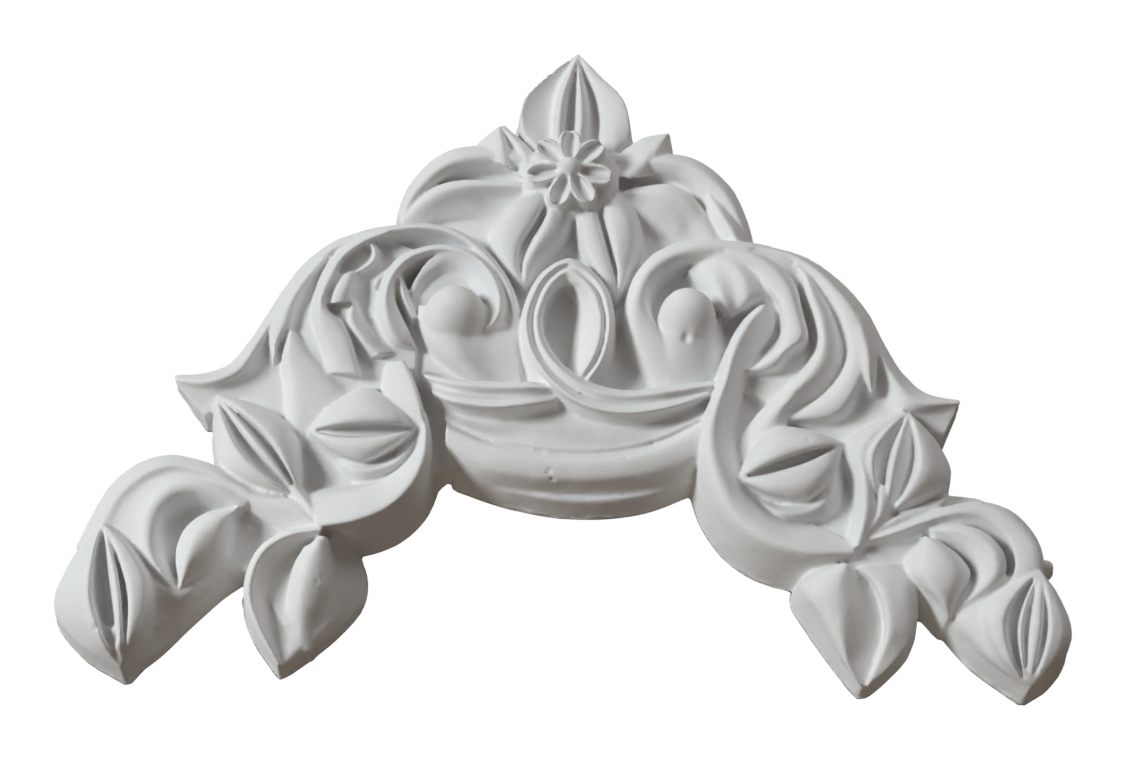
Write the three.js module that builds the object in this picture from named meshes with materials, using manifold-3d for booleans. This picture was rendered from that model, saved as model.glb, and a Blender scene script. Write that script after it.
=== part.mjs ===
// A cast plaster corner applique: two leafy arms that meet under a crown of fronds, with two scroll volutes,
// a ribbon loop between them and a moulded bib below. One solid with a flat back.
// Plan coordinates are millimetres: x to the right, y up the wall, z out from the back. The last group stands
// the plan upright, so that the back lies on Y = 0 and the carving faces -Y.
import * as THREE from "three";
import { mergeVertices } from "three/addons/utils/BufferGeometryUtils.js";
import Module from "manifold-3d";

const wasm = await Module();
wasm.setup();

// Driving dimensions
const WIDTH = 365; // across the two end leaves
const RELIEF = 34.5; // from the back to the top of the volutes' balls
const DRAFT = 0.14; // how far a side wall leans out for each millimetre down to the back
const BURIED = 3; // depth below the back plane that each form is made to, before the back is cut flat
const ROWS_PER_WIDTH = 27; // rows along a form that is as long as the whole piece is wide
const PETAL_REACH = 17; // flower, from its middle to a petal's end
const PETAL_WIDTH = 9;
const PETAL_HEIGHT = 29;
const PETAL_STRETCH = 1.1; // how much longer the flower is upwards, as traced
const BUTTON_RADIUS = 4.5;
const SECOND_POD = [17, 16]; // heights of a second bud's tip and foot
const END_POD = [20, 12]; // and of an end leaf's

// The carving was traced as it looks from below, on a sheet held above the back. A trace point is x and y on
// the sheet and the real height of the feature: the feature lies on the line from the eye through the mark.
const SHEET = 20;
const EYE = new THREE.Vector3(-3.7, -348, 577);
const TRACED_WIDTH = 365; // the width and the relief that the trace points themselves give
const TRACED_RELIEF = 34.5;
const SPREAD = WIDTH / TRACED_WIDTH;
const RAISE = RELIEF / TRACED_RELIEF;

const forms = [];

function traced([x, y, z]) {
  const mark = new THREE.Vector3(x, y, SHEET);
  return mark.lerp(EYE, (z - SHEET) / (EYE.z - SHEET)).multiply(new THREE.Vector3(SPREAD, SPREAD, RAISE));
}

// A three.js geometry as a manifold-3d solid, turned right side out.
function solid(geometry) {
  geometry.deleteAttribute("normal");
  geometry.deleteAttribute("uv");
  const merged = mergeVertices(geometry, 1e-3);
  const corners = [];
  for (let i = 0; i < merged.index.count; i += 3) {
    const [a, b, c] = [0, 1, 2].map((k) => merged.index.getX(i + k));
    if (a !== b && b !== c && a !== c) corners.push([a, b, c]);
  }
  const make = (triangles) => new wasm.Manifold(new wasm.Mesh({
    numProp: 3,
    vertProperties: new Float32Array(merged.attributes.position.array),
    triVerts: new Uint32Array(triangles.flat()),
  }));
  const made = make(corners);
  return made.volume() > 0 ? made : make(corners.map(([a, b, c]) => [a, c, b]));
}

// The solid under a grid of points: side walls that lean out by the draft, and a flat underside.
function under(grid) {
  const position = [];
  const index = [];
  const last = grid.length - 1;
  const wide = grid[0].length - 1;
  const vertex = (p) => position.push(p.x, p.y, p.z) / 3 - 1;
  const top = grid.map((row) => row.map(vertex));
  const foot = grid.map((row, i) => [0, wide].map((edge) => {
    const p = row[edge];
    const before = grid[Math.max(i - 1, 0)][edge];
    const after = grid[Math.min(i + 1, last)][edge];
    const run = new THREE.Vector3().subVectors(after, before).setZ(0).normalize();
    const out = edge === 0 ? new THREE.Vector3(-run.y, run.x, 0) : new THREE.Vector3(run.y, -run.x, 0);
    const pointed = row[0].distanceTo(row[wide]) < 1;
    if (i === 0 && !pointed) out.sub(run).normalize();
    if (i === last && !pointed) out.add(run).normalize();
    return vertex(p.clone().addScaledVector(out, DRAFT * (p.z + BURIED)).setZ(-BURIED));
  }));
  const quad = (a, b, c, d) => index.push(a, b, c, a, c, d);
  for (let i = 0; i < last; i++) {
    for (let j = 0; j < wide; j++) quad(top[i][j], top[i + 1][j], top[i + 1][j + 1], top[i][j + 1]);
    quad(foot[i][0], foot[i + 1][0], top[i + 1][0], top[i][0]);
    quad(top[i][wide], top[i + 1][wide], foot[i + 1][1], foot[i][1]);
    quad(foot[i][1], foot[i + 1][1], foot[i + 1][0], foot[i][0]);
  }
  for (const [i, flip] of [[0, false], [last, true]]) {
    const face = (a, b, c) => (flip ? index.push(a, c, b) : index.push(a, b, c));
    for (let j = 0; j < wide; j++) face(foot[i][0], top[i][j], top[i][j + 1]);
    face(foot[i][0], top[i][wide], foot[i][1]);
  }
  const geometry = new THREE.BufferGeometry();
  geometry.setAttribute("position", new THREE.Float32BufferAttribute(position, 3));
  geometry.setIndex(index);
  return geometry;
}

// A form lofted between rails, given in their order across it. Each rail is a few trace points that are
// joined by a smooth curve; the first and last rails are the edges over the side walls.
function loft(...rails) {
  const curves = rails.map((rail) => new THREE.CatmullRomCurve3(rail.map(traced), false, "centripetal"));
  const longest = Math.max(...curves.map((curve) => curve.getLength()));
  const rows = Math.max(3, Math.ceil((longest / WIDTH) * ROWS_PER_WIDTH));
  const lines = curves.map((curve) => curve.getSpacedPoints(rows));
  const half = Math.floor(rows / 2);
  const run = new THREE.Vector3().subVectors(lines[0][half + 1], lines[0][half]);
  const across = new THREE.Vector3().subVectors(lines[lines.length - 1][half], lines[0][half]);
  if (run.cross(across).z > 0) lines.reverse();
  forms.push(solid(under(lines[0].map((point, i) => lines.map((line) => line[i])))));
}

// A round dome on a drafted foot. x and y are where its middle is seen on the sheet.
function dome(x, y, radius, bottom, top, sides, rings) {
  const centre = traced([x, y, bottom]);
  const wide = radius * SPREAD;
  const foot = wide + DRAFT * (centre.z + BURIED);
  const profile = [new THREE.Vector2(0, -BURIED), new THREE.Vector2(foot, -BURIED)];
  for (let i = 0; i <= rings; i++) {
    const a = (i / rings) * Math.PI / 2;
    const rise = (top - bottom) * RAISE * Math.sin(a);
    profile.push(new THREE.Vector2(i === rings ? 0 : wide * Math.cos(a), centre.z + rise));
  }
  const geometry = new THREE.LatheGeometry(profile, sides);
  geometry.rotateX(Math.PI / 2);
  geometry.translate(centre.x, centre.y, 0);
  forms.push(solid(geometry));
}

// A flat-topped plate whose foot follows the listed outline on the back.
function plate(outline, traceHeight) {
  const height = traceHeight * RAISE;
  const corners = outline.map(([x, y]) => new THREE.Vector3(x * SPREAD, y * SPREAD, 0));
  const foot = new THREE.CatmullRomCurve3(corners, true, "centripetal");
  const ring = foot.getSpacedPoints(Math.ceil((foot.getLength() / WIDTH) * ROWS_PER_WIDTH)).slice(0, -1);
  const flat = ring.map((p) => new THREE.Vector2(p.x, p.y));
  if (THREE.ShapeUtils.isClockWise(flat)) ring.reverse();
  const count = ring.length;
  const position = [];
  for (const [level, lean] of [[height, -1], [-BURIED, 0]]) {
    ring.forEach((p, i) => {
      const run = ring[(i + 1) % count].clone().sub(ring[(i + count - 1) % count]).normalize();
      const move = lean * DRAFT * (height + BURIED);
      position.push(p.x + run.y * move, p.y - run.x * move, level);
    });
  }
  const index = [];
  const rim = ring.map((p) => new THREE.Vector2(p.x, p.y));
  for (const [a, b, c] of THREE.ShapeUtils.triangulateShape(rim, [])) {
    index.push(a, b, c, a + count, c + count, b + count);
  }
  for (let i = 0; i < count; i++) {
    const j = (i + 1) % count;
    index.push(i, i + count, j + count, i, j + count, j);
  }
  const geometry = new THREE.BufferGeometry();
  geometry.setAttribute("position", new THREE.Float32BufferAttribute(position, 3));
  geometry.setIndex(index);
  forms.push(solid(geometry));
}

// The flower: petals that are each a hollow spoon with a raised rim, round a button
function flower(x, y, angles) {
  for (const angle of angles) {
    const a = THREE.MathUtils.degToRad(angle);
    const at = (out, aside, z) => [x + out * Math.cos(a) - aside * Math.sin(a),
      y + (out * Math.sin(a) + aside * Math.cos(a)) * PETAL_STRETCH, z];
    const rail = (side, rise) => [[0.18, 0.4], [0.5, 0.95], [0.8, 1], [1, 0.35]].map(([far, wide]) => at(
      far * PETAL_REACH, side * wide * PETAL_WIDTH / 2, PETAL_HEIGHT + rise));
    loft(rail(1, -2), rail(0.8, 1.5), rail(0.45, -0.5), rail(-0.45, -0.5), rail(-0.8, 1.5), rail(-1, -2));
  }
  dome(x, y, BUTTON_RADIUS, PETAL_HEIGHT, PETAL_HEIGHT + 4.5, 10, 3);
}

// An eye bud between two corners: upper lid, slit and lower lid. above, below and gape are half widths.
function eye([x1, y1], [x2, y2], above, below, gape, height) {
  const run = new THREE.Vector2(x2 - x1, y2 - y1);
  const aside = new THREE.Vector2(-run.y, run.x).normalize();
  const corner = height - 11;
  const rail = (reach, rise) => [0, 0.22, 0.5, 0.78, 1].map((f) => {
    const swell = Math.sin(Math.PI * f);
    return [x1 + run.x * f + aside.x * reach * swell, y1 + run.y * f + aside.y * reach * swell,
      corner + (11 + rise) * Math.sqrt(swell)];
  });
  loft(rail(above, -12), rail(above * 0.8, -4), rail(above * 0.45, 0), rail(gape * 0.8, -1),
    rail(gape * 0.5, -9), rail(-gape * 0.8, -9), rail(-gape * 1.1, -3.5), rail(-below * 0.6, -3.5),
    rail(-below * 0.88, -7), rail(-below, -12));
}

// A pod between its tip and its foot: a leaf with raised lips round a hollow that holds a middle ridge.
// Each pair in section is how far a rail bulges to the side and how far it lies above the pod's height.
function pod([x1, y1], [x2, y2], height, ends, section) {
  const run = new THREE.Vector2(x2 - x1, y2 - y1);
  const aside = new THREE.Vector2(-run.y, run.x).normalize();
  loft(...section.map(([reach, rise]) => [0, 0.22, 0.5, 0.78, 1].map((f) => {
    const swell = Math.sin(Math.PI * f);
    const level = ends[0] + (ends[1] - ends[0]) * f;
    return [x1 + run.x * f + aside.x * reach * swell, y1 + run.y * f + aside.y * reach * swell,
      level + (height + rise - level) * swell ** 0.7];
  })));
}

// The same form in lengths, each between two places in its rails, where it has to cross over itself.
function spans(rails, ...lengths) {
  for (const [from, to] of lengths) loft(...rails.map((rail) => rail.slice(from, to)));
}

// Ground between the forms
plate([[-66, 46], [-60, 68], [-30, 86], [-18, 104], [0, 128], [16, 104], [32, 86], [58, 66], [67, 46]], 12);
plate([[-72, 44], [72, 44], [100, 28], [116, 6], [126, -16], [128, -40], [116, -60], [104, -86], [70, -84],
  [46, -62], [20, -68], [0, -70], [-20, -68], [-44, -61], [-62, -82], [-90, -88], [-122, -62], [-128, -40],
  [-126, -20], [-116, 6], [-98, 28]], 12);
plate([[-132, -42], [-134, -62], [-156, -68], [-170, -88], [-174, -112], [-154, -132], [-130, -116],
    [-118, -106],
  [-98, -128], [-82, -116], [-80, -92], [-96, -60], [-110, -40]], 11);
plate([[130, -42], [134, -62], [156, -68], [168, -88], [172, -110], [156, -132], [138, -122], [126, -108],
  [104, -130], [90, -114], [80, -92], [96, -60], [110, -40]], 11);

// Valleys of the shoulders, that rise towards the next leaf
loft([[-76, 38, 14], [-100, 22, 14], [-109, 0, 14], [-107, -20, 13], [-98, -42, 14]],
  [[-74, 34, 16], [-94, 20, 16.5], [-102, 0, 16.5], [-98, -18, 16.5], [-88, -36, 16]],
  [[-66, 32, 16], [-82, 20, 16], [-83, 4, 15.5], [-78, -10, 15.5], [-70, -32, 15]],
  [[-60, 28, 17], [-76, 18, 18], [-78, 4, 18], [-74, -8, 17], [-66, -26, 15]]);
loft([[66, 32, 17], [78, 14, 17], [80, -2, 16], [72, -14, 16], [60, -26, 14]],
  [[76, 30, 16], [88, 16, 14], [90, -2, 13.5], [88, -18, 14.5], [76, -36, 16]],
  [[86, 26, 16], [97, 12, 16], [100, -4, 16], [96, -22, 15], [84, -44, 14]],
  [[94, 22, 15], [104, 8, 15], [108, -8, 15], [108, -26, 13], [100, -44, 12]]);

// Apex leaf: hollow left side, a bud with a lip and a ridge, a groove, and the right side
const APEX = [-1, 133.5, 16];
loft([[-12, 78, 14], [-22, 90, 16], [-24, 99, 18], [-22.5, 109, 18.5], [-13, 122, 17], APEX],
  [[-11, 78, 12.5], [-18.5, 90, 14.5], [-20, 99, 15.5], [-18, 109, 15.5], [-11, 121, 15], APEX],
  [[-10, 78, 12], [-11.5, 90, 12], [-11.5, 100, 12.5], [-10, 111, 13], [-6.5, 122, 14], APEX],
  [[-9, 78, 17], [-10, 90, 20], [-9.6, 100, 21], [-8.3, 111, 21], [-5, 122, 19], APEX],
  [[-7, 78, 17], [-7, 90, 20], [-6.8, 100, 21], [-5.8, 111, 21], [-3.6, 122, 19], APEX],
  [[-4.5, 78, 12], [-4.5, 90, 12], [-4, 100, 12.5], [-3.5, 111, 13], [-2.4, 122, 14.5], APEX],
  [[-1, 78, 16], [-1, 90, 18.5], [-0.6, 100, 19.5], [-0.8, 111, 19.5], [-1.2, 122, 17.5], APEX],
  [[1.8, 78, 16], [2, 90, 18.5], [2.2, 100, 19.5], [1.5, 111, 19.5], [-0.2, 122, 17.5], APEX],
  [[6, 78, 10], [6.5, 90, 10], [6.5, 100, 10.5], [5, 111, 11], [1.6, 122, 13], APEX],
  [[9.5, 78, 14], [9.5, 90, 16], [9.3, 100, 17], [7.8, 110, 17.5], [3.2, 122, 17], APEX],
  [[13, 79, 15], [15, 90, 18.5], [15, 100, 20], [13, 110, 20], [5.5, 122, 18], APEX],
  [[15, 80, 14], [20.5, 90, 18], [20.5, 100, 20], [17.8, 110, 20], [9, 121, 17.5], APEX]);

// Upper fronds on the left: pointed leaf, upper frond, lower frond
loft([[-45, 79, 13], [-39, 87, 15], [-33, 93.5, 16]], [[-31, 74, 21], [-31.5, 84, 20.5], [-33, 93.5, 16.5]],
  [[-26, 70, 15], [-28, 82, 15], [-32.5, 93, 15]], [[-20.5, 66, 19], [-22, 79, 19], [-32, 93.5, 16]],
  [[-17, 66, 15], [-18, 79, 15], [-31, 94, 14]]);
loft([[-72, 46, 12], [-69, 60, 15], [-58, 76.5, 16], [-44, 83, 16], [-12, 80, 15]],
  [[-70, 46, 15], [-65.5, 60, 20], [-55, 73, 22], [-42, 78, 21], [-12, 76, 17]],
  [[-68.5, 46, 14], [-61, 59.5, 18], [-52, 69, 18.5], [-38, 72, 17], [-12, 72, 15]],
  [[-67, 44, 11], [-58, 60, 13], [-48, 66.5, 13], [-33, 68, 12], [-12, 68, 12]]);
loft([[-71, 46, 13], [-62, 58.5, 16.5], [-50, 65, 17.5], [-32, 65.3, 17], [-12, 65.5, 15]],
  [[-70, 44, 15], [-60, 56, 20.5], [-48, 62.5, 21.5], [-31, 63, 20.5], [-12, 63, 17]],
  [[-68, 38, 13], [-56, 50, 17], [-44, 56, 17], [-32, 56, 14], [-12, 56, 14]],
  [[-66, 34, 12], [-55, 44, 13.5], [-42, 47, 13], [-33, 48, 12], [-12, 48, 13]]);
// and on the right
loft([[12, 76, 15], [26, 89, 16.5], [37, 92, 17]], [[19, 68, 21], [29, 79.5, 21.5], [37, 92, 17.5]],
  [[35, 71, 14], [38.5, 80.5, 13], [37.5, 92, 15]]);
loft([[8, 80, 15], [30, 82, 16], [47, 79.5, 16], [61, 67, 16], [68, 50, 14], [71, 34, 12]],
  [[8, 76, 17], [30, 78, 21], [45, 75.5, 21.5], [58, 64, 21], [65, 48, 18], [68, 34, 14]],
  [[8, 71, 15], [30, 73, 18], [43, 70, 18.5], [53, 60, 17], [59, 47, 14], [64, 35, 12]],
  [[8, 67, 12], [30, 69, 13], [42, 66, 13], [49.5, 58, 13], [55, 47, 12], [61, 36, 11]]);
loft([[58, 60, 20], [64, 48, 19], [69, 34, 14]], [[55, 58, 22], [60, 47, 21.5], [66, 34, 16]],
  [[52, 57, 18], [57, 46, 17], [62, 34, 13]]);
loft([[10, 60, 15], [24, 64, 17], [36, 66, 18], [45, 62, 18], [52, 52, 15], [61, 36, 12]],
  [[10, 55, 17], [24, 60.5, 20], [35, 62.5, 22], [43.5, 58, 21], [50, 48, 17], [59, 34, 12]],
  [[12, 48, 14], [25, 52, 17], [34, 54, 19.5], [41, 50, 18], [45, 43, 14], [54, 32, 12]],
  [[14, 40, 11], [26, 40, 11], [33, 40, 12], [38, 38, 12], [42, 34, 11], [50, 28, 10]]);

// Small leaves under the flower, each with a slit
const LEFT_TIP = [-20, 14, 17];
loft([[-18, 62, 19], [-28, 52, 19], [-34, 38, 18], [-29, 24, 18], LEFT_TIP],
  [[-16, 60, 24], [-25, 50, 25], [-30, 38, 24], [-27, 26, 22], LEFT_TIP],
  [[-13, 57, 23], [-18, 46, 24], [-23, 35, 24], [-23.5, 26, 22], LEFT_TIP],
  [[-11.5, 56, 17], [-15, 45, 16], [-20, 35, 16], [-22, 26, 17], LEFT_TIP],
  [[-10, 55, 23], [-12.5, 44.5, 25], [-17, 34, 25], [-20, 25, 22], LEFT_TIP],
  [[-5, 52, 23], [-6.5, 42, 22.5], [-12, 32, 22], [-17, 23, 20], LEFT_TIP],
  [[-1, 50, 18], [-3, 40, 16], [-9, 29, 15], [-15, 20, 15], LEFT_TIP]);
const RIGHT_TIP = [16, 8, 17];
loft([[-1, 50, 18], [0, 40, 17], [3, 29, 17], [9, 19, 17], RIGHT_TIP],
  [[1.5, 51, 23], [3, 41, 24], [6, 30, 24], [11, 20, 22], RIGHT_TIP],
  [[6.5, 51, 23], [9, 41, 24], [12, 30, 24], [14.5, 20, 22], RIGHT_TIP],
  [[9, 51, 16], [11.5, 41, 16], [14, 30, 16], [16, 20, 17], RIGHT_TIP],
  [[11, 54, 23], [13.5, 43, 25.5], [15.5, 33, 25], [17, 22, 22], RIGHT_TIP],
  [[15, 58, 23], [20.5, 46, 25], [21.5, 34, 24], [19.5, 21, 21], RIGHT_TIP],
  [[18, 61, 18], [25, 47, 18], [25.8, 35, 18], [21.5, 20, 17], RIGHT_TIP]);

// Flower
dome(-2, 68, 18.5, 21, 26, 20, 3);
flower(-3.5, 73, [90, 43, -13, -60, -108, 193, 137]);

// Left volute: outer ring, the crescent that runs on as the curl's rim, the curl's funnel and floor, cone
// and ball
loft([[-88, 38, 18], [-74, 42, 20], [-60, 43.5, 21], [-48, 41, 21], [-38, 34, 21], [-29, 23, 21],
    [-23, 10, 21],
    [-20, -4, 18], [-17.5, -17, 14.5], [-16, -30, 11]],
  [[-87, 36, 21], [-74, 40, 23.5], [-60, 41.7, 24.5], [-48.7, 39, 24.5], [-39.3, 32.3, 24.5],
      [-30.7, 21.7, 24.5],
    [-24.8, 9.5, 24], [-22.5, -4, 20.5], [-20, -17, 16.5], [-18.5, -30, 12]],
  [[-85, 32, 17], [-74, 35, 17.5], [-61, 37, 18], [-50, 35.5, 18], [-42, 30.5, 18.5], [-34, 20, 18.5],
      [-28.5, 8, 19],
    [-27, -4, 20], [-25, -17, 17.5], [-23, -30, 13]]);
loft([[-61, -15.5, 15], [-69.5, -13.5, 17], [-75, -3, 18.5], [-77, 8, 19], [-75, 18, 20], [-69, 28, 21],
    [-59, 32.7, 22],
    [-48, 33.2, 22.5], [-38, 29, 22.5], [-30.5, 20, 22.5], [-27, 9, 22.5], [-27.5, 1, 22.5], [-32, -6, 21],
      [-39, -8.5, 19]],
  [[-61, -14.5, 17], [-67.5, -10.5, 21.5], [-72, -3, 25], [-74, 8, 26], [-72, 18.5, 26], [-66.5, 26.5, 26],
      [-58, 31, 26.5],
    [-48, 31.5, 27], [-39, 27.5, 27], [-32.3, 19, 27], [-29, 9, 27], [-29.5, 1.5, 26.5], [-33, -4.5, 24.5],
      [-39, -7.8, 20.5]],
  [[-60.5, -13.5, 16], [-63, -8.5, 19.5], [-66.5, -1, 21], [-70.5, 9, 22], [-69.3, 18, 22],
      [-64, 25.3, 22.5],
    [-57, 29, 23.5], [-48, 29.5, 25.5], [-40, 25.7, 25.5], [-34, 17.7, 25.5], [-31, 8, 25.5],
      [-31.5, 2, 25],
    [-34, -3.3, 23], [-39, -7.2, 19.5]]);
loft([[-64.5, 11, 19], [-62, 19, 21], [-57, 27, 23], [-48, 29.5, 25.5], [-40, 25.5, 25.5],
    [-34, 17.5, 25.5],
    [-31.5, 8, 25.5], [-32, 2, 25], [-34, -3, 23], [-39, -7, 19.5]],
  [[-63.5, 9, 19], [-60, 17.5, 20.5], [-54.5, 24, 22], [-48, 26, 23], [-41.5, 22.5, 23], [-37, 15.5, 23],
      [-34, 8, 24],
    [-34, 1.5, 23.5], [-36, -4, 21.5], [-39, -7, 19]],
  [[-62, 5, 16], [-58.5, 14, 17], [-53, 19.5, 17.5], [-47, 20.5, 18], [-42.5, 18, 18], [-38.5, 12, 19],
      [-35, 5, 19],
    [-34.5, 0, 19], [-37, -4.5, 18], [-39, -7, 18]]);
loft([[-63, 4, 16], [-59, 14, 17], [-50, 20, 17.5], [-42, 18, 17.5]], [[-61, 2, 17], [-56, 12, 17],
    [-48, 16, 17], [-41, 14, 17]],
  [[-57, 2, 16], [-52, 8, 16], [-46, 10, 16], [-40, 8, 16]]);
loft([[-59, 3, 17], [-57.5, -9, 16], [-53, -19, 15], [-47, -30, 12]], [[-54, 4, 24], [-53, -9, 22.5],
    [-49, -19, 19.5], [-43, -30, 14]],
  [[-46, 4, 26], [-45, -9, 23.5], [-41, -19, 20], [-37, -30, 14]], [[-35, 0, 22], [-33, -11, 21],
      [-30, -20, 18], [-28, -30, 13.5]],
  [[-25, -3, 17], [-21.5, -12, 15.5], [-19, -21, 13.5], [-18, -30, 11]]);
dome(-46, -0.5, 12, 21, 34.5, 24, 6);

// Right volute: outer ring, cone, lobes, ball
loft([[29, -31, 11], [23, -15, 16], [19.3, 2, 20], [22, 18, 21], [29, 30, 21], [38, 36.5, 21],
    [50, 39.5, 21], [70, 38.5, 19]],
  [[33, -31, 13], [27, -15, 20], [22.6, 3, 25], [25, 17, 26], [31, 27.5, 26], [39.5, 33.5, 26],
      [50, 36.5, 26], [70, 36, 23]],
  [[38, -31, 14], [33, -15, 21.5], [26.8, 2, 24.5], [28, 15, 24], [33.5, 24.5, 24], [41, 29.5, 24],
      [50, 31.5, 24], [64, 32, 24]],
  [[43, -31, 14], [40, -15, 21.5], [32, -3, 22], [29.5, 7, 17], [31.3, 14, 16.5], [36, 21.5, 16.5],
      [43, 26, 17], [50, 26.5, 19], [58, 24, 20]]);
loft([[44, 24, 18], [50, 17.5, 19], [54.5, 9, 18], [58, 2, 14]], [[48, 30, 23], [54.5, 19.5, 25],
    [58, 10, 23.5], [61, 2, 17]],
  [[54, 33, 24], [60.5, 20, 24.5], [62, 10, 22], [61.5, 2.5, 17]], [[59, 34, 24], [66, 21.5, 26.5],
      [67.5, 12.5, 24.5], [63.5, 5, 18]],
  [[64, 32, 22], [72.5, 21, 22.5], [73, 13, 21.5], [68, 8, 18]], [[68, 28, 18], [77, 18, 18], [77, 9, 17],
      [71, 7, 15]]);
loft([[31, 0, 18], [31, -14, 18], [35, -31, 12]], [[40, 0, 24.5], [41, -14, 22], [41, -31, 14]],
  [[50, 0, 22.5], [50.5, -13, 19.5], [48, -31, 13]], [[57, 3, 15], [58, -12, 14.5], [54, -31, 11]]);
dome(43.5, 2, 11, 21, 34, 24, 6);

// Ribbon: a band that comes up the right of the loop, over its top, down its left side and on to the right.
// It crosses over itself, so it is made in two lengths. Then the left band.
spans([[[6, -30, 19], [12.5, -19, 21], [15, -8, 22], [15, 5, 22], [12, 15.5, 22], [5.5, 24, 22.5],
    [-3, 28.5, 23], [-13, 22, 23],
    [-19, 9, 23.5], [-20.3, -2, 23.5], [-18, -14, 23.5], [-11, -27, 23.5], [1, -37.5, 23.5],
      [18, -42, 23.5], [35, -39.5, 22.5],
    [51, -33, 19]],
  [[4.5, -28.5, 24], [10.5, -18, 26], [13, -8, 27.5], [13.2, 4, 28], [10.5, 14.5, 28], [4.3, 22.5, 28],
      [-3, 26.8, 28.5],
    [-12, 20.5, 28.5], [-17.5, 8, 28.5], [-18.8, -2, 28.5], [-16.5, -14, 28.5], [-9.5, -26, 29],
      [2, -36, 29], [18, -40.3, 29],
    [35, -38, 28], [51, -32, 22]],
  [[3, -27.5, 21.5], [8.5, -17.5, 23.5], [11, -8, 24.5], [11.2, 3.5, 25], [8.5, 13.3, 25.5],
      [2.8, 20.8, 26], [-3, 24.3, 26],
    [-10.5, 18.5, 26], [-15.2, 7, 26], [-16.3, -2, 25.5], [-14.2, -12.5, 25.5], [-7.2, -24, 26],
      [4, -33, 26], [18, -36.5, 25.5],
    [35, -34.5, 24.5], [52, -29.5, 20]],
  [[1.5, -27, 23.5], [6.5, -17, 26], [8.8, -8, 27], [9, 3, 27.5], [6.5, 12, 28], [1.3, 18.5, 28],
      [-3, 21.8, 28], [-9, 16.5, 28],
    [-13.2, 6, 28], [-14.2, -2, 28], [-12.2, -11.5, 28], [-5.2, -22, 28.5], [6, -30.5, 28.5], [19, -33, 28],
      [35, -31, 27],
    [53, -27.5, 21.5]],
  [[-2.5, -24, 16], [-1, -13, 14], [-0.5, -4, 13.5], [-0.5, 3, 13.5], [-1, 9, 14], [-2.5, 13, 15],
      [-4.5, 15, 16],
    [-8, 12.5, 18], [-11.3, 4.5, 19], [-12.3, -2, 19], [-10.5, -10, 19], [-3.5, -20.5, 22], [8, -28, 23],
      [20, -30.5, 23],
    [35, -28.5, 22], [54, -25.5, 18]]], [0, 7], [3, 16]);
loft([[-4, -29, 20], [-15, -28, 21.5], [-30, -28.5, 21.5], [-45, -27.5, 21.5], [-58, -25.5, 18]],
  [[-5, -31, 23], [-16, -30.3, 27], [-30, -30.8, 27.5], [-44, -29.8, 27], [-56, -27.3, 21]],
  [[-6, -33.5, 21.5], [-17, -34, 23.5], [-30, -34.7, 23.5], [-43, -33.5, 23.5], [-54, -30, 19]],
  [[-7, -36, 23], [-19, -38, 27.5], [-32, -39, 27.5], [-44, -37.3, 26.5], [-53, -34, 21]],
  [[-6, -38.5, 19], [-19, -40.8, 22], [-33, -41.5, 22], [-45, -39.5, 21], [-52, -36, 17]]);

// Bib: apron, crease and roll, then cove and fillet
loft([[-54, -32, 15], [-20, -34, 16], [20, -34, 16], [56, -30, 15]], [[-49, -40, 16], [-25, -46, 17.5],
    [3, -49, 18], [28, -46, 17.5], [51, -37, 16]],
  [[-47.5, -45, 19], [-26, -53, 21], [3, -56.3, 21], [28, -52, 21], [50.5, -40.5, 20]],
  [[-47, -46.5, 18], [-27, -54.8, 19], [3, -58.3, 19], [28, -54.2, 19], [50.5, -42, 18.5]],
  [[-47, -49, 21.5], [-28, -57.5, 23.3], [3, -61, 23.5], [29, -57, 23.3], [50.5, -45.5, 22]],
  [[-47, -55, 21], [-30, -64.5, 21.5], [2, -68, 21.5], [30, -64, 21.5], [49.5, -54, 21]],
  [[-45.5, -59, 17.5], [-33, -67.8, 17], [2, -71.5, 17], [33, -67.8, 17], [48, -60, 17.5]]);
loft([[-45, -60, 8], [-22, -66, 8], [2, -69, 8], [26, -66, 8], [47, -59, 8]],
  [[-43, -64.5, 8], [-22, -71, 8], [2, -74.3, 8], [26, -71.5, 8], [46, -63, 8]],
  [[-42, -66.5, 12], [-22, -73.3, 12], [2, -76.6, 12], [26, -73.8, 12], [46, -65, 11.5]],
  [[-42.5, -68.3, 10.5], [-22, -75.2, 10.5], [2, -78.6, 10.5], [26, -75.8, 10.5], [46.5, -66.8, 10.5]]);

// C band on the left, and the stub lobe over it
loft([[-54.8, -42, 20], [-53, -52, 22], [-53.2, -62, 23], [-57, -74, 23], [-65.5, -83.3, 23],
    [-78, -89, 22], [-91, -90.5, 19]],
  [[-55.5, -42, 24], [-54, -52, 26], [-54.5, -62, 27.5], [-58.8, -72.5, 27.5], [-67, -81.5, 27],
      [-78.5, -86.8, 26], [-91, -89.5, 22]],
  [[-56.5, -43, 23], [-55.5, -52, 24.5], [-57.5, -61, 24.5], [-62, -68, 23.5], [-70, -74, 22],
      [-80, -77, 21], [-94, -80, 18]],
  [[-58, -44, 17], [-58, -52, 14], [-60.5, -60, 12], [-65, -65, 12], [-72, -70.5, 12], [-82, -73, 12],
      [-96, -76, 12]]);
loft([[-71.3, -21.5, 20], [-71.3, -32, 20], [-67, -41, 20], [-57, -50, 19]], [[-70.3, -21, 22],
    [-70, -32, 22.5], [-65.5, -41, 23], [-56.3, -50, 21.5]],
  [[-65, -20.5, 24], [-60.5, -32, 27], [-57, -42, 27], [-54.3, -50, 24]], [[-64, -20.5, 21],
      [-59.3, -31, 23], [-56, -42, 24], [-53.5, -50, 21]]);
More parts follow.
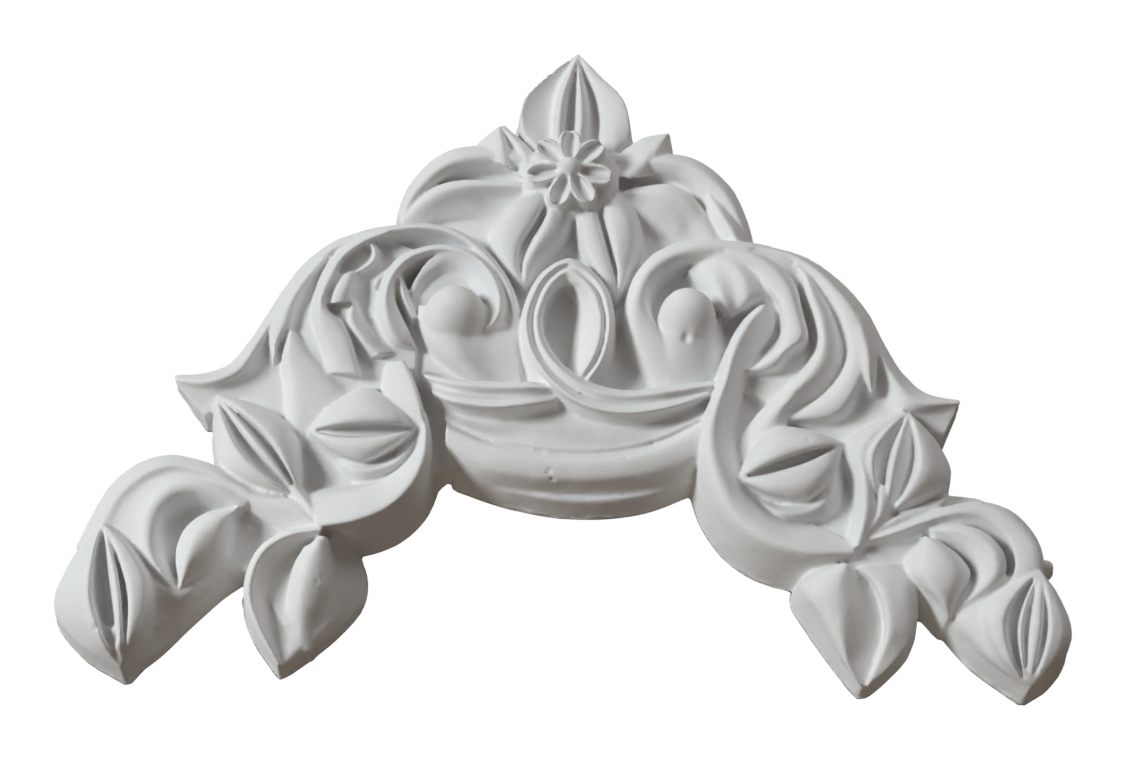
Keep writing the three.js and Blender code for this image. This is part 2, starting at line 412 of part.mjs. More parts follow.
// C band on the right: from the shoulder down and round to the knot, then up the far side
loft([[72, 9.5, 18], [65, 2, 20], [59, -10, 21], [55, -25, 21], [49.5, -40, 21], [47.3, -52, 21],
    [48.3, -64, 21], [53, -78, 21],
    [61, -89, 21], [71, -96, 20.5], [85, -99.5, 20], [102, -97.5, 18]],
  [[73.5, 8.5, 22], [67.5, 1.5, 25], [61.5, -10, 26], [57.5, -25, 26], [52.5, -40, 26], [50.5, -52, 26],
      [52, -63, 26.5],
    [56.5, -76, 26.5], [64, -86, 26], [73, -92, 26], [86, -95.5, 25], [102, -95.5, 21]],
  [[75, 8.5, 20], [70.5, 0, 22.5], [64.5, -12, 23.5], [60, -26, 23.5], [55.5, -41, 24], [54.5, -52, 24.5],
      [56.5, -62, 24.5],
    [61, -72.5, 24], [68, -81, 23.5], [76, -86.5, 23], [87, -90, 22], [102, -93.5, 20]],
  [[78, 9, 16], [77, -1, 15.5], [71, -13, 15], [65, -28, 14.5], [61, -42, 14.5], [60.5, -52, 14],
      [62.5, -61, 13.5],
    [67, -69, 13], [73, -76, 13], [80, -81.5, 13], [90, -85.5, 14], [100, -90, 16]]);
loft([[100, -91, 17], [103.3, -80, 17], [103.5, -66, 17], [102, -54, 17], [107, -45.5, 17], [124, -36, 16]],
  [[103, -93, 21], [106.5, -80, 24], [107.3, -66, 25], [106.8, -55, 25], [111.5, -46.5, 23.5],
      [125, -37, 18]],
  [[106, -91, 20], [110, -79.5, 22], [110.8, -67, 23], [110.3, -57, 23], [114.5, -48.5, 22],
      [126, -38, 17]]);

// Eye buds, each with a fold under its lower lid
eye([-98, -51.5], [-57, -49], 18, 14, 3.6, 31);
loft([[-88, -60, 15], [-77, -64, 17], [-66, -61.5, 18], [-57.5, -51, 18]], [[-85, -65, 17],
    [-77, -67.5, 21], [-65.5, -64.5, 21.5], [-56.8, -53, 20]],
  [[-83, -69.5, 14], [-76, -71.8, 16], [-64.5, -68, 16], [-55.8, -55, 15]]);
eye([61, -67], [101, -51], 15, 17, 3.6, 31);
loft([[64, -71, 15], [76, -77, 17], [89, -73, 17], [97, -58, 17]], [[66, -74.5, 17], [77, -80.5, 20],
    [91, -76.5, 20], [99, -58, 19]],
  [[69, -78.5, 14], [79, -84.5, 14], [95, -80, 14], [101.5, -58, 14]]);

// Second buds
pod([-134, -37], [-98, -79], 26, SECOND_POD, [[-15, -10], [-12, -4], [-9.3, -0.5], [-6.8, 0.5], [-5, -4],
    [-3, -5.5], [-1.3, -0.5], [0.4, 0],
  [1.8, -4.8], [3.4, -4.5], [4.8, 0.5], [8, -0.5], [11, -4], [14, -10]]);
pod([126.5, -37], [115, -80], 26, SECOND_POD, [[-14.5, -8], [-12, -1.5], [-9.5, 0], [-7.6, -4.5],
  [-5, -6], [-3, -0.5], [-1.4, 0], [0.6, -2.5], [3, -4], [5, -5.5], [6.8, 0], [10, 0.5], [14, -2],
    [17.5, -6], [19.5, -10]]);

// End leaves
pod([-168, -91], [-153, -146], 26, END_POD, [[-20, -16], [-15, -8], [-11, -1.5], [-9, 0.5], [-6.8, 0],
    [-5, -5.5], [-2.4, -7.5], [-0.8, -6.5],
  [0.2, -1], [2.6, 0.5], [4.2, -5], [5.6, -4.5], [6.8, 0], [9.5, 0.3], [12.5, -2], [14.8, -9]]);
pod([168.5, -100], [159, -145], 26, END_POD, [[-32, -16], [-26, -9], [-19.5, -6], [-16, -1.5], [-13, 0],
    [-10.8, -1], [-8.8, -6], [-6.9, -5.5],
  [-5.6, -0.5], [-4.2, -1], [-3, -5.5], [-1.7, -1], [0.2, 0.5], [2, -0.5], [3.2, -5], [4.6, 0], [7.5, 0],
    [10.5, -2], [12.8, -9]]);
dome(169.8, -99.5, 3, 3, 7, 10, 3);

// Curl leaves: outer frond, inner band and seed
loft([[-115, -76, 16], [-124, -70, 16], [-136, -65, 16], [-148, -63, 16], [-159, -67, 15.5],
    [-168, -77, 15], [-173, -90, 14], [-176, -101, 12]],
  [[-115, -78.5, 19], [-125, -73, 20], [-136, -68.5, 20.5], [-147, -67, 21], [-156.5, -71, 20.5],
      [-164, -80, 19.5], [-168, -91, 18], [-170.5, -101, 14]],
  [[-116, -80.5, 18], [-127, -75, 18.8], [-137, -71.5, 19.3], [-146, -71, 19.3], [-154.5, -76, 19],
      [-160, -84, 18.5], [-162, -93, 17.5], [-160, -103, 15]],
  [[-117, -82, 18], [-128, -77, 20.5], [-137, -74.3, 22], [-146, -76.5, 23], [-151.3, -83, 23],
      [-153, -91, 22.5], [-151.5, -100, 21.5],
    [-146.5, -108, 20], [-137.5, -116.5, 16.5]],
  [[-118, -84, 17], [-129, -80, 19], [-137, -78.3, 20.5], [-143.5, -80.5, 21], [-147.8, -86.5, 21],
      [-149, -94, 21], [-147.5, -102, 20],
    [-143.5, -109, 18.5], [-137.3, -116.5, 16]],
  [[-119, -86, 13], [-130, -83.5, 12.5], [-138, -84, 12], [-142.5, -88, 12], [-144.5, -94, 12],
      [-143.5, -101, 12], [-141, -108, 13], [-137.2, -116.5, 15]]);
loft([[-120, -83.5, 18], [-131, -86, 18], [-138.5, -93, 18], [-140, -102, 18], [-137, -116, 15.5]],
  [[-120.5, -84.5, 20], [-129, -88.5, 24.5], [-134.5, -95.5, 26], [-136, -104, 25], [-136.8, -116, 17]],
  [[-121.3, -85.5, 20], [-125, -91, 23.5], [-128, -98, 24], [-130.5, -105, 22], [-136.5, -116, 16]],
  [[-121.8, -87, 17.5], [-122.3, -94, 18], [-123.5, -101.5, 18], [-128.5, -108.5, 17], [-136.3, -116, 15]]);
loft([[103, -89, 17], [115, -85.5, 17.5], [128, -79.5, 17], [139, -75, 17], [151, -73.5, 17],
    [161, -77.5, 17], [168.5, -88, 16.5], [170, -98, 15.5], [168, -106, 14]],
  [[103, -91, 19], [115, -87.5, 21], [128, -82, 21.5], [139, -78, 21.5], [150, -77, 21.5], [159, -81, 22],
      [165.3, -89.5, 21.5], [166.5, -98, 20.5], [164, -107, 18]],
  [[103, -92, 17], [116, -89, 18], [129, -84, 18.5], [139, -81, 19], [148, -80.5, 19], [154.5, -84.5, 19],
      [159, -91.5, 19], [159.5, -99, 18.5],
    [156, -107, 17.5], [147, -113.5, 17], [136, -118.5, 16]],
  [[104, -93, 14], [117, -91, 15], [130, -86, 17], [139, -83.5, 18.5], [147, -83, 18.5],
      [153.3, -86.5, 16.5], [157.3, -92.5, 14.5],
    [157.8, -99.5, 14], [154.5, -106.5, 14.5], [145.5, -112.5, 15], [136, -117.5, 15]]);
loft([[130, -84.5, 18], [139, -83, 20], [147, -84, 21], [153.3, -88.7, 21.5], [156.3, -96, 21.5],
    [155, -103, 21], [148, -110, 19.5], [136, -117, 16.5]],
  [[130.5, -86, 19.5], [139, -85.3, 22], [146, -87, 23.5], [151, -91.5, 24], [153, -97.5, 24],
      [151, -103.5, 23], [145.5, -109, 21], [136, -116.7, 17]],
  [[131, -87.5, 18], [138, -88.3, 20], [143, -91.3, 20.5], [146.7, -96, 21], [147.8, -100.5, 21],
      [146.3, -105, 20.5], [142.8, -109.5, 19], [135.8, -116.3, 16.5]],
  [[131, -89, 17], [136.5, -90.5, 17], [141, -93.5, 16], [144, -98, 15.5], [144.7, -102, 15.5],
      [143, -106.5, 15.5], [140, -110.5, 15.5], [135.5, -115.8, 15]]);
loft([[128, -87.5, 18], [122, -96, 18], [120.5, -101, 18], [124.5, -107, 18], [129.5, -112.5, 17],
    [133, -120, 14]],
  [[129.5, -88, 20.5], [127, -96, 25.5], [127, -102, 26.5], [129.5, -108, 25], [132, -113, 22],
      [133.5, -120, 15]],
  [[131, -88.5, 20.5], [134.5, -94.5, 25], [137, -100, 26], [137, -106, 25], [135.5, -112, 22],
      [134, -120, 15]],
  [[132.5, -89, 18], [139.5, -95, 18], [143, -100.5, 18.5], [142, -106, 18], [138.5, -112, 17],
      [134.5, -120, 14]]);

// Stems that tie the buds together at the knots
loft([[-124, -73, 15], [-110, -77, 17], [-99, -81, 18], [-91, -89, 19]], [[-122, -77, 18], [-109, -81, 20],
    [-99, -84.5, 20.5], [-91, -89.5, 20.5]],
  [[-119, -84, 17], [-107, -86, 17.5], [-98, -88.5, 18], [-91, -90.5, 19]], [[-117, -90, 13],
      [-106, -91, 14], [-97, -92, 16], [-91, -91, 18]]);
loft([[-104, -76, 17], [-98, -82, 18], [-91, -89, 19]], [[-101, -75, 20], [-96, -80.5, 20.5],
    [-90.5, -88.5, 20.5]], [[-98.5, -74, 15], [-94, -80, 16], [-89.5, -88, 18]]);
loft([[138, -72, 15], [124, -77, 16], [112, -84, 17], [103, -92, 18]], [[134, -76, 17], [121, -80.5, 19],
    [110, -87, 19.5], [101, -95, 20]],
  [[128, -84, 15], [117, -88, 15], [109, -91, 16], [102, -96, 17]]);
loft([[110, -66, 18], [109.5, -79, 19], [103.5, -91, 19]], [[114.5, -68, 23], [112, -80, 22],
    [104.3, -91, 20.5]], [[121, -73, 18], [114, -83, 18], [105, -91, 18]]);
loft([[104, -92, 14], [118, -88, 14], [128, -86, 13]], [[101, -97, 17], [112, -97, 15], [122, -98, 13]],
  [[100, -100, 16], [110, -101, 16], [120, -102, 14]]);

// Mid leaves: rimmed leaf and seed
loft([[-89, -90, 20], [-101, -92, 20], [-110, -98, 19], [-114, -107, 17], [-114, -118, 15],
    [-109.5, -129, 13], [-99.5, -143.5, 10]],
  [[-89, -91.5, 22], [-101, -94.3, 23], [-108.5, -100, 22], [-111.8, -108, 20.5], [-112, -118, 18.5],
      [-107.5, -129, 16], [-99, -143, 11]],
  [[-89, -93, 20], [-100, -97, 18], [-105.5, -102, 16], [-108.5, -109.5, 14.5], [-108.5, -118, 13],
      [-105.5, -128, 12], [-98.7, -142.8, 10]],
  [[-88, -94.5, 15], [-97, -101, 12], [-101, -107, 11], [-103, -114, 10.5], [-103, -121, 10],
      [-102, -129, 9.5], [-98.4, -142.5, 9]],
  [[-85, -94, 15], [-85, -104, 12], [-86, -112, 10.5], [-88, -120, 10], [-91, -130, 9],
      [-97.4, -142.5, 8.5]],
  [[-83, -92, 14], [-76, -102, 10], [-73, -111, 8.5], [-74, -120, 7.5], [-82, -131, 7],
      [-96.4, -143.5, 8]]);
loft([[-90, -94, 20], [-96, -101, 17], [-98.5, -110, 15], [-98.8, -120, 12.5], [-97.5, -130, 9.5],
    [-94, -138, 7.5]],
  [[-88.5, -94, 22.5], [-92.5, -102, 22], [-93.8, -111, 21], [-94, -120, 17.5], [-93, -130, 12],
      [-92, -138, 7.5]],
  [[-86.5, -95, 21], [-87, -103, 20], [-86.5, -112, 18.5], [-87.5, -120, 15.5], [-89, -130, 10.5],
      [-90, -138, 7.5]],
  [[-85, -96, 17], [-83, -104, 14], [-82.5, -112, 12], [-84, -121, 10], [-87, -130, 8.5], [-89, -138, 7]]);
loft([[98, -99, 20], [87, -102.5, 16], [82, -108.5, 14], [87, -121, 12], [95, -135.5, 10],
    [101.5, -145.5, 9]],
  [[98, -99.5, 21], [91.5, -105, 20], [88, -112, 19], [92, -122, 16.5], [97.5, -136, 12],
      [101.5, -145.5, 9.5]],
  [[99, -100, 21.5], [98.5, -106, 22.5], [98.5, -115, 21.5], [99.8, -126, 18.5], [101, -137, 14],
      [101.8, -145.5, 10]],
  [[100, -100, 21], [104.5, -106, 21], [108.5, -116, 20], [107.5, -127, 17], [104.5, -135, 13.5],
      [102.1, -145.5, 9.5]],
  [[101, -100, 18], [106.5, -106, 16], [110.5, -116, 15], [109.5, -127, 12.5], [106, -136, 10.5],
      [102.4, -145.5, 9]]);
loft([[103, -101, 18], [107, -107, 14], [110, -117, 13], [108.5, -128, 11.5], [104.5, -137, 10],
    [102.4, -145.5, 9]],
  [[105.5, -100, 21], [111, -107, 20], [113.5, -117, 19], [111.5, -128, 16], [106.5, -138, 12.5],
      [102.8, -145.5, 10]],
  [[113, -99, 20.5], [117.5, -107, 20], [118.5, -117, 18.5], [115.5, -128, 15.5], [108.5, -138.5, 12],
      [103.2, -145.5, 10]],
  [[119, -99, 17], [122.8, -108, 17], [123, -118, 15.5], [118.5, -129.5, 13], [110, -139.5, 10.5],
      [103.5, -145.5, 9]]);

// Left shoulder: outer edge and wing, hanging lobes, main leaf with its eyelet, lobe and thin ridge
loft([[-70, 43, 18], [-84, 39.5, 17], [-97, 33, 16], [-106, 24, 15], [-113, 12, 14], [-119, -2, 13],
    [-124, -13, 13], [-131, -24, 14],
    [-140, -28, 14], [-150.5, -29.3, 13]],
  [[-70, 41, 21], [-84, 37, 20.5], [-95, 31, 19.5], [-103.5, 22, 18.5], [-110.5, 10, 18], [-116.5, -3, 18],
      [-121, -14, 18.5], [-127.5, -26.5, 19],
    [-138, -31.5, 18.5], [-149.8, -31.3, 15]],
  [[-70, 39, 18], [-82, 35, 17], [-93, 28, 16], [-101, 19, 15.5], [-108, 7, 15], [-114, -5, 14.5],
      [-118, -16, 14], [-123.5, -29, 14],
    [-134, -35, 14.5], [-148.5, -34.5, 13]],
  [[-70, 36, 14], [-91, 25, 13], [-105, 3, 13], [-111, -14, 12], [-117, -33, 12], [-137, -46, 11]]);
loft([[-102, 26, 17], [-110, 14, 17], [-116, 2, 17], [-118, -6, 16], [-117, -14, 15], [-113.5, -25.5, 12]],
  [[-99, 26, 20], [-106.5, 14, 21.5], [-111, 3, 21.5], [-113, -6, 21], [-114, -14, 18.5],
      [-113.5, -25.5, 13]],
  [[-96, 26, 17], [-103.5, 14, 18.5], [-108, 3, 19], [-109.5, -7, 19], [-113, -13, 17],
      [-113.5, -25.5, 12]]);
loft([[-109.5, -8, 17], [-111, -20, 15.5], [-108.5, -33, 15], [-107, -45, 14.5], [-103, -60, 14]],
  [[-109, -8, 19], [-108.7, -19, 20], [-105, -31, 20], [-102.5, -44, 18.5], [-99, -60, 14.5]],
  [[-108.3, -8, 18.5], [-103, -18, 18.7], [-96, -28.5, 19], [-92, -42, 18], [-93, -58, 14]],
  [[-107.5, -9, 16.5], [-100, -18, 16], [-90, -27, 16], [-83, -38, 15.5], [-86, -56, 13]]);
loft([[-74, 41.5, 19], [-86, 36, 19], [-96, 26, 19], [-101, 13, 19], [-101.8, 0, 18.5], [-99, -10, 17.5],
    [-95, -19, 18], [-94, -27, 17]],
  [[-74, 39.5, 23.5], [-85, 34.3, 25], [-93.8, 25, 25.5], [-98.5, 12, 26], [-99.3, 1, 26],
      [-96.5, -9, 24.5], [-91.5, -18, 23.5], [-88, -26.5, 21]],
  [[-75, 38, 22.5], [-84, 33.3, 24], [-91.5, 25.5, 24.5], [-94.8, 15, 25], [-97.3, 4, 25],
      [-90.5, -5, 24.5], [-86.5, -13, 24], [-81.8, -26.7, 22]],
  [[-76, 36.5, 18], [-83, 32.3, 18], [-90.3, 24.5, 17], [-93.3, 15, 17], [-96, 3.5, 18], [-88.8, -4, 18],
      [-85, -12, 19], [-81, -27, 18]]);
loft([[-93, 16, 17], [-90, 27, 18], [-84, 33, 18]], [[-88, 16, 18.5], [-84.5, 25, 19.5], [-81, 30, 19.5]],
  [[-83, 15, 17], [-79, 22, 17], [-77, 27, 17]]);
loft([[-97, 6, 17], [-92, -2, 18.5], [-88, -8, 17]], [[-92, 9, 18], [-88.5, 2, 20], [-85, -4, 18]],
  [[-86, 9, 17], [-84, 3, 17], [-81, -3, 16]]);
loft([[-82, 36, 20], [-78, 31.5, 19], [-77.8, 25, 18.5], [-82, 19, 18], [-91, 14.5, 18]],
  [[-82.5, 34, 23.5], [-79.5, 30, 23.5], [-79.5, 25.5, 23], [-83.5, 21, 22.5], [-92, 16, 22]],
  [[-83, 32, 20], [-81.3, 29, 19], [-81.5, 25.5, 19], [-85, 22, 18.5], [-92.5, 17.5, 18]]);
loft([[-94.5, 17, 20], [-95.8, 10, 21], [-96.8, 4.3, 20]], [[-92.5, 17, 23], [-93, 10.5, 25],
    [-94, 4.5, 24.5]], [[-87.5, 20, 23], [-88.5, 12, 24.5], [-89.5, 5.3, 24]],
  [[-83, 20, 18], [-84.5, 12, 18], [-86, 5.8, 18]]);
loft([[-86.8, 5.5, 19], [-89, -3, 18], [-84.5, -11, 17], [-78, -20, 16]], [[-86.3, 5.5, 21],
    [-86.3, -3, 23], [-81.5, -10.5, 22], [-74.5, -18.5, 19]],
  [[-85.3, 5, 20], [-83.3, -3, 21], [-78.5, -10, 20], [-71.5, -17.5, 18]], [[-84.5, 4.5, 17],
      [-80.5, -3, 16.5], [-75, -10, 16.5], [-68, -17, 16]]);
loft([[-70.5, 18, 20], [-67.8, 8, 20], [-63, -2, 17]], [[-69.3, 18.5, 23], [-66, 8.5, 22.5],
    [-61.5, -1.5, 18.5]], [[-67.5, 18, 18], [-64, 8, 17], [-60, -1, 16]]);

// Right shoulder: cap, outer slope and wing, band, its pointed tip, inner leaves
loft([[60, 39, 18], [74, 37.5, 18], [86, 32.5, 17], [96, 24, 15]], [[60, 36, 22.5], [74, 34.5, 22],
    [84, 29.5, 21], [92, 21.5, 17]],
  [[60, 32, 22], [72, 30, 22], [80, 25, 20], [87, 17, 16]]);
loft([[70, 38, 18], [90, 32.5, 17], [104, 21, 15], [113.5, 7, 14], [119.5, -8, 13], [125, -19.5, 13],
    [133, -28.3, 14], [146, -31.3, 14]],
  [[70, 36, 20], [89, 30, 20], [101.5, 18.5, 19], [110.5, 4.5, 18.5], [116, -9, 18.5], [121.3, -22, 19],
      [128.5, -32, 19], [146, -32.5, 16]],
  [[70, 34, 18], [87, 27, 17], [98.5, 15, 16.5], [107, 2, 15.5], [113.5, -10, 14.5], [117.5, -23.5, 14],
      [123, -37, 14], [144.5, -35, 14]],
  [[70, 32, 15], [92, 12, 14], [105, -6, 13], [112, -24, 12], [118, -40, 11], [139, -46, 10]]);
loft([[70, 36, 19], [84, 30.5, 18.5], [96, 17, 18], [103, 1, 18], [104.7, -12, 18], [100.5, -22.5, 17.5],
    [92, -32.5, 17], [79.5, -39.8, 16]],
  [[70, 37, 21], [85.5, 31, 21.5], [98, 18, 22], [105.5, 1.5, 22], [107, -13, 22], [102.5, -25, 21],
      [93.5, -35, 20], [79.5, -40.6, 17]],
  [[70, 37.5, 21], [89, 31, 22], [102.5, 17, 22.5], [111, 1, 22.5], [112, -12, 22], [106.5, -27, 21],
      [98, -38, 19.5], [79.5, -42, 17]],
  [[70, 38, 18], [91, 31, 18], [105.5, 16.5, 17.5], [114.3, 0, 17], [115.3, -11, 16.5], [109, -27, 16],
      [101, -40, 15], [79.5, -43.5, 14]]);
loft([[104, 6, 20], [108.5, -10, 22], [109.8, -20, 21.5], [112.5, -29, 17]], [[109, 6, 22.5],
    [112.5, -10, 24], [112.8, -20, 23.5], [113, -29, 18]],
  [[113, 5, 19], [115.8, -10, 18.5], [115.5, -20, 17.5], [113.6, -29, 15.5]]);
loft([[78, 32, 17], [87, 25, 17.5], [89.5, 14, 17.5], [92, 2, 16], [92.8, -7, 16], [90.5, -13.5, 15.5],
    [86, -21, 16], [77, -31.5, 16], [68, -44, 15]],
  [[79.5, 32.3, 18.5], [88.5, 25, 21.5], [91.5, 14, 23.5], [94.3, 2, 24], [95, -7.5, 24], [92.3, -15.5, 23],
      [87, -23, 22.5], [80, -32, 22], [74, -44, 19]],
  [[80.5, 32.6, 18.5], [90.5, 25, 21.5], [94.5, 14, 23], [97.8, 2, 23.5], [98.5, -8.5, 23],
      [95.5, -18, 22.5], [89.5, -25.5, 22], [83, -33, 20.5], [79.5, -39.3, 18]],
  [[82, 33, 17], [92, 25, 17], [98.5, 14, 16.5], [102.3, 1, 16], [103.5, -11, 16], [100, -21.5, 15.5],
      [92.3, -30.8, 15.5], [85.5, -36, 15.5], [79.5, -39.8, 15]]);
loft([[60, 30, 20], [67, 25.3, 19.5], [73, 18, 19], [78.3, 10, 18.5], [80.3, 0, 18], [78, -8.3, 17.5],
    [72, -15.3, 17], [61, -22.3, 15]],
  [[60, 31.5, 24], [68.5, 27, 24.5], [75, 19, 25], [80.5, 10, 25.5], [82.3, 0, 25], [80, -9, 23.5],
      [73.5, -16.3, 22], [61, -22.7, 17]],
  [[60, 35, 25], [73, 30.5, 25.5], [82, 20, 26], [86, 8, 26.2], [87.3, -5, 25.5], [81.5, -11.5, 24],
      [75.5, -18.5, 21.5], [61, -23, 17]],
  [[60, 37, 20], [76, 32, 20.5], [85.3, 21, 20.5], [88.2, 8, 20.5], [89.6, -6.5, 20], [83.5, -12.5, 18],
      [77, -20.5, 17], [61, -23.7, 14]]);
loft([[58, -60, 14], [64, -47, 16], [70, -38.5, 17], [76, -32, 17], [87, -21.5, 17]], [[70, -60, 17],
    [72, -47, 20], [76.5, -38.5, 22], [82, -31.5, 22.5], [91, -18.5, 22.5]],
  [[82, -60, 15], [80.5, -47, 17], [80.5, -39.3, 18], [85, -33, 18], [94, -20, 18]]);

const [first, ...rest] = forms;
let body = first;
for (const form of rest) body = body.add(form);
const below = new THREE.BoxGeometry(2 * WIDTH, 2 * WIDTH, 2 * RELIEF);
below.translate(0, 0, -RELIEF);
body = body.subtract(solid(below));

const cut = body.getMesh();
const geometry = new THREE.BufferGeometry();
geometry.setAttribute("position", new THREE.Float32BufferAttribute(cut.vertProperties, cut.numProp));
geometry.setIndex(Array.from(cut.triVerts));
geometry.rotateX(Math.PI / 2);
geometry.computeVertexNormals();

const plaster = new THREE.MeshStandardMaterial({ color: 0xe6e7e6, roughness: 0.85 });
plaster.name = "plaster";
const applique = new THREE.Mesh(geometry, plaster);
applique.name = "applique";

const group = new THREE.Group();
group.name = "corner_applique";
group.add(applique);
export default group;
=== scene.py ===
"""The looks of the cast plaster corner applique: the forms of its CAD solid, a few of them refined, are swept at
fine steps, melted together as one casting, softened, and given a chalky plaster surface."""
import math
import bpy
import numpy as np
from mathutils import Matrix, Vector, noise


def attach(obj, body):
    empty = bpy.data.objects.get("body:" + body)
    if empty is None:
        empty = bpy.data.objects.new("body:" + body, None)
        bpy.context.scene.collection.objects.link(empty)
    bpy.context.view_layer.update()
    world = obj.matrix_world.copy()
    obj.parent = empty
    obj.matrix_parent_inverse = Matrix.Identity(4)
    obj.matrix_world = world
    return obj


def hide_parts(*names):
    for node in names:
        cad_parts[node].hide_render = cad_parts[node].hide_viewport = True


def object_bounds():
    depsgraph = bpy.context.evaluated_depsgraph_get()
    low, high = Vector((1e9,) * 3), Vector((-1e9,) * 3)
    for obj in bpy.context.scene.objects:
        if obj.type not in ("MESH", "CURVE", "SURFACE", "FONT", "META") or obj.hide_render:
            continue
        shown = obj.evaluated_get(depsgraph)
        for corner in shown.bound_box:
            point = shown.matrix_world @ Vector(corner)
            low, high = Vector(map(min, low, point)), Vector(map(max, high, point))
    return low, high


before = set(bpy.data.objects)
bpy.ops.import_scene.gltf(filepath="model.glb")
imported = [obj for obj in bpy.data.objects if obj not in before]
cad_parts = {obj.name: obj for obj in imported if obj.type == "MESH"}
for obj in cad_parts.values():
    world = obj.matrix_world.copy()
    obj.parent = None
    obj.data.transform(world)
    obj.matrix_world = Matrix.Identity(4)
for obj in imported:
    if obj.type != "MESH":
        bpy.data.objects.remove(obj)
low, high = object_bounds()

# Shape, in the plan's millimetres: x to the right, y up the wall, z out from the back
DRAFT = 0.14  # how far a side wall leans out for each millimetre down to the back
BURIED = 3  # depth below the back plane that each form is made to
ROW_LENGTH = 1.6
LEAST_ROWS = 6
STEPS_ACROSS = 6  # between two rails
CURVE_STEPS = 40  # between two points
TIP_WIDTH = 1  # a row that is narrower than this is a tip
PLATE_STEP = 4
DOME_SIDES = 48
DOME_RINGS = 14
SHEET = 20  # the trace sheet's height above the back
EYE = np.array([-3.7, -348.0, 577.0])  # where the trace was seen from
PETAL_REACH, PETAL_WIDTH, PETAL_HEIGHT, PETAL_STRETCH = 17, 9, 29, 1.1
PETAL_COURSE = [(0.2, 0.45), (0.5, 0.95), (0.78, 1.08), (0.95, 0.8), (1.03, 0.35)]  # shares of reach and width
PETAL_HALF = [(1, -2), (0.9, 0.8), (0.72, 1.5), (0.42, -1.8)]  # share of the width, and rise
BUTTON_RADIUS, BUTTON_RISE = 4.5, 4.5
LID_RISE = 11  # an eye's upper lid over its corners
BOW_PLACES = [0, 0.22, 0.5, 0.78, 1]
POD_FULLNESS = 0.7
SECOND_POD, END_POD = [17, 16], [20, 12]  # levels at the tip and the foot

# Casting: the mesh's steps in millimetres, the rest in metres
MM = 0.001
VOXEL = 0.6
FILL_TURNS, FILL_SHARE = 6, 0.6
WAVES = [(0.00022, 110), (0.00009, 420)]  # height, and how often
UNWAVED = 0.0002  # no waves below this height
FLASH_TOP, FLASH_SIZE, FLASH_OFTEN, FLASH_MORE = 0.0026, 0.0011, 190, 0.1
MARKED_FACING = 0.2  # no marks on walls steeper than this
TRIANGLES = 180000
BACK = 0.0004  # points below this height are put on the back plane
BACK_FACING = 0.999

# Stage and camera
FLOOR_DROP, FLOOR_HALF = 2.0, 6
LOOK_AT = Vector((-0.0037, 0.0, -0.015))
DISTANCE, LENS = 0.6664, 54.3
BELOW = math.radians(30)  # the camera's angle below straight on
ROLL = math.radians(1.5)

points_all, faces_all = [], []


def put(name, data):
    """A new object in the scene."""
    made = bpy.data.objects.new(name, data)
    bpy.context.scene.collection.objects.link(made)
    return made


def traced(mark):
    """The plan point that is seen at a mark on the trace sheet, at its real height."""
    x, y, z = mark
    on_sheet = np.array([x, y, SHEET], float)
    return on_sheet + (EYE - on_sheet) * (z - SHEET) / (EYE[2] - SHEET)


def spaced(points, count=None, closed=False, length_only=False):
    """A centripetal Catmull-Rom curve through the points, as evenly spaced points."""
    p = np.array(points, float)
    if closed:
        p = np.vstack([p[-1], p, p[0], p[1]])
    else:
        p = np.vstack([2 * p[0] - p[1], p, 2 * p[-1] - p[-2]])
    fine = []
    for k in range(1, len(p) - 2):
        a, b, c, d = p[k - 1:k + 3]
        t01, t12, t23 = [max(np.linalg.norm(v) ** 0.5, 1e-4) for v in (b - a, c - b, d - c)]
        m1 = ((b - a) / t01 - (c - a) / (t01 + t12) + (c - b) / t12) * t12
        m2 = ((c - b) / t12 - (d - b) / (t12 + t23) + (d - c) / t23) * t12
        f = np.linspace(0, 1, CURVE_STEPS, endpoint=False)[:, None]
        fine.append(b + m1 * f + (-3 * b + 3 * c - 2 * m1 - m2) * f ** 2 + (2 * b - 2 * c + m1 + m2) * f ** 3)
    fine = np.vstack(fine + [p[-2][None]])
    run = np.concatenate([[0], np.cumsum(np.linalg.norm(np.diff(fine, axis=0), axis=1))])
    if length_only:
        return run[-1]
    at = np.linspace(0, run[-1], count + 1)
    return np.stack([np.interp(at, run, fine[:, k]) for k in range(3)], axis=1)


def add(points, faces):
    start = sum(len(p) for p in points_all)
    points_all.append(np.array(points, float))
    faces_all.extend([tuple(start + i for i in face) for face in faces])


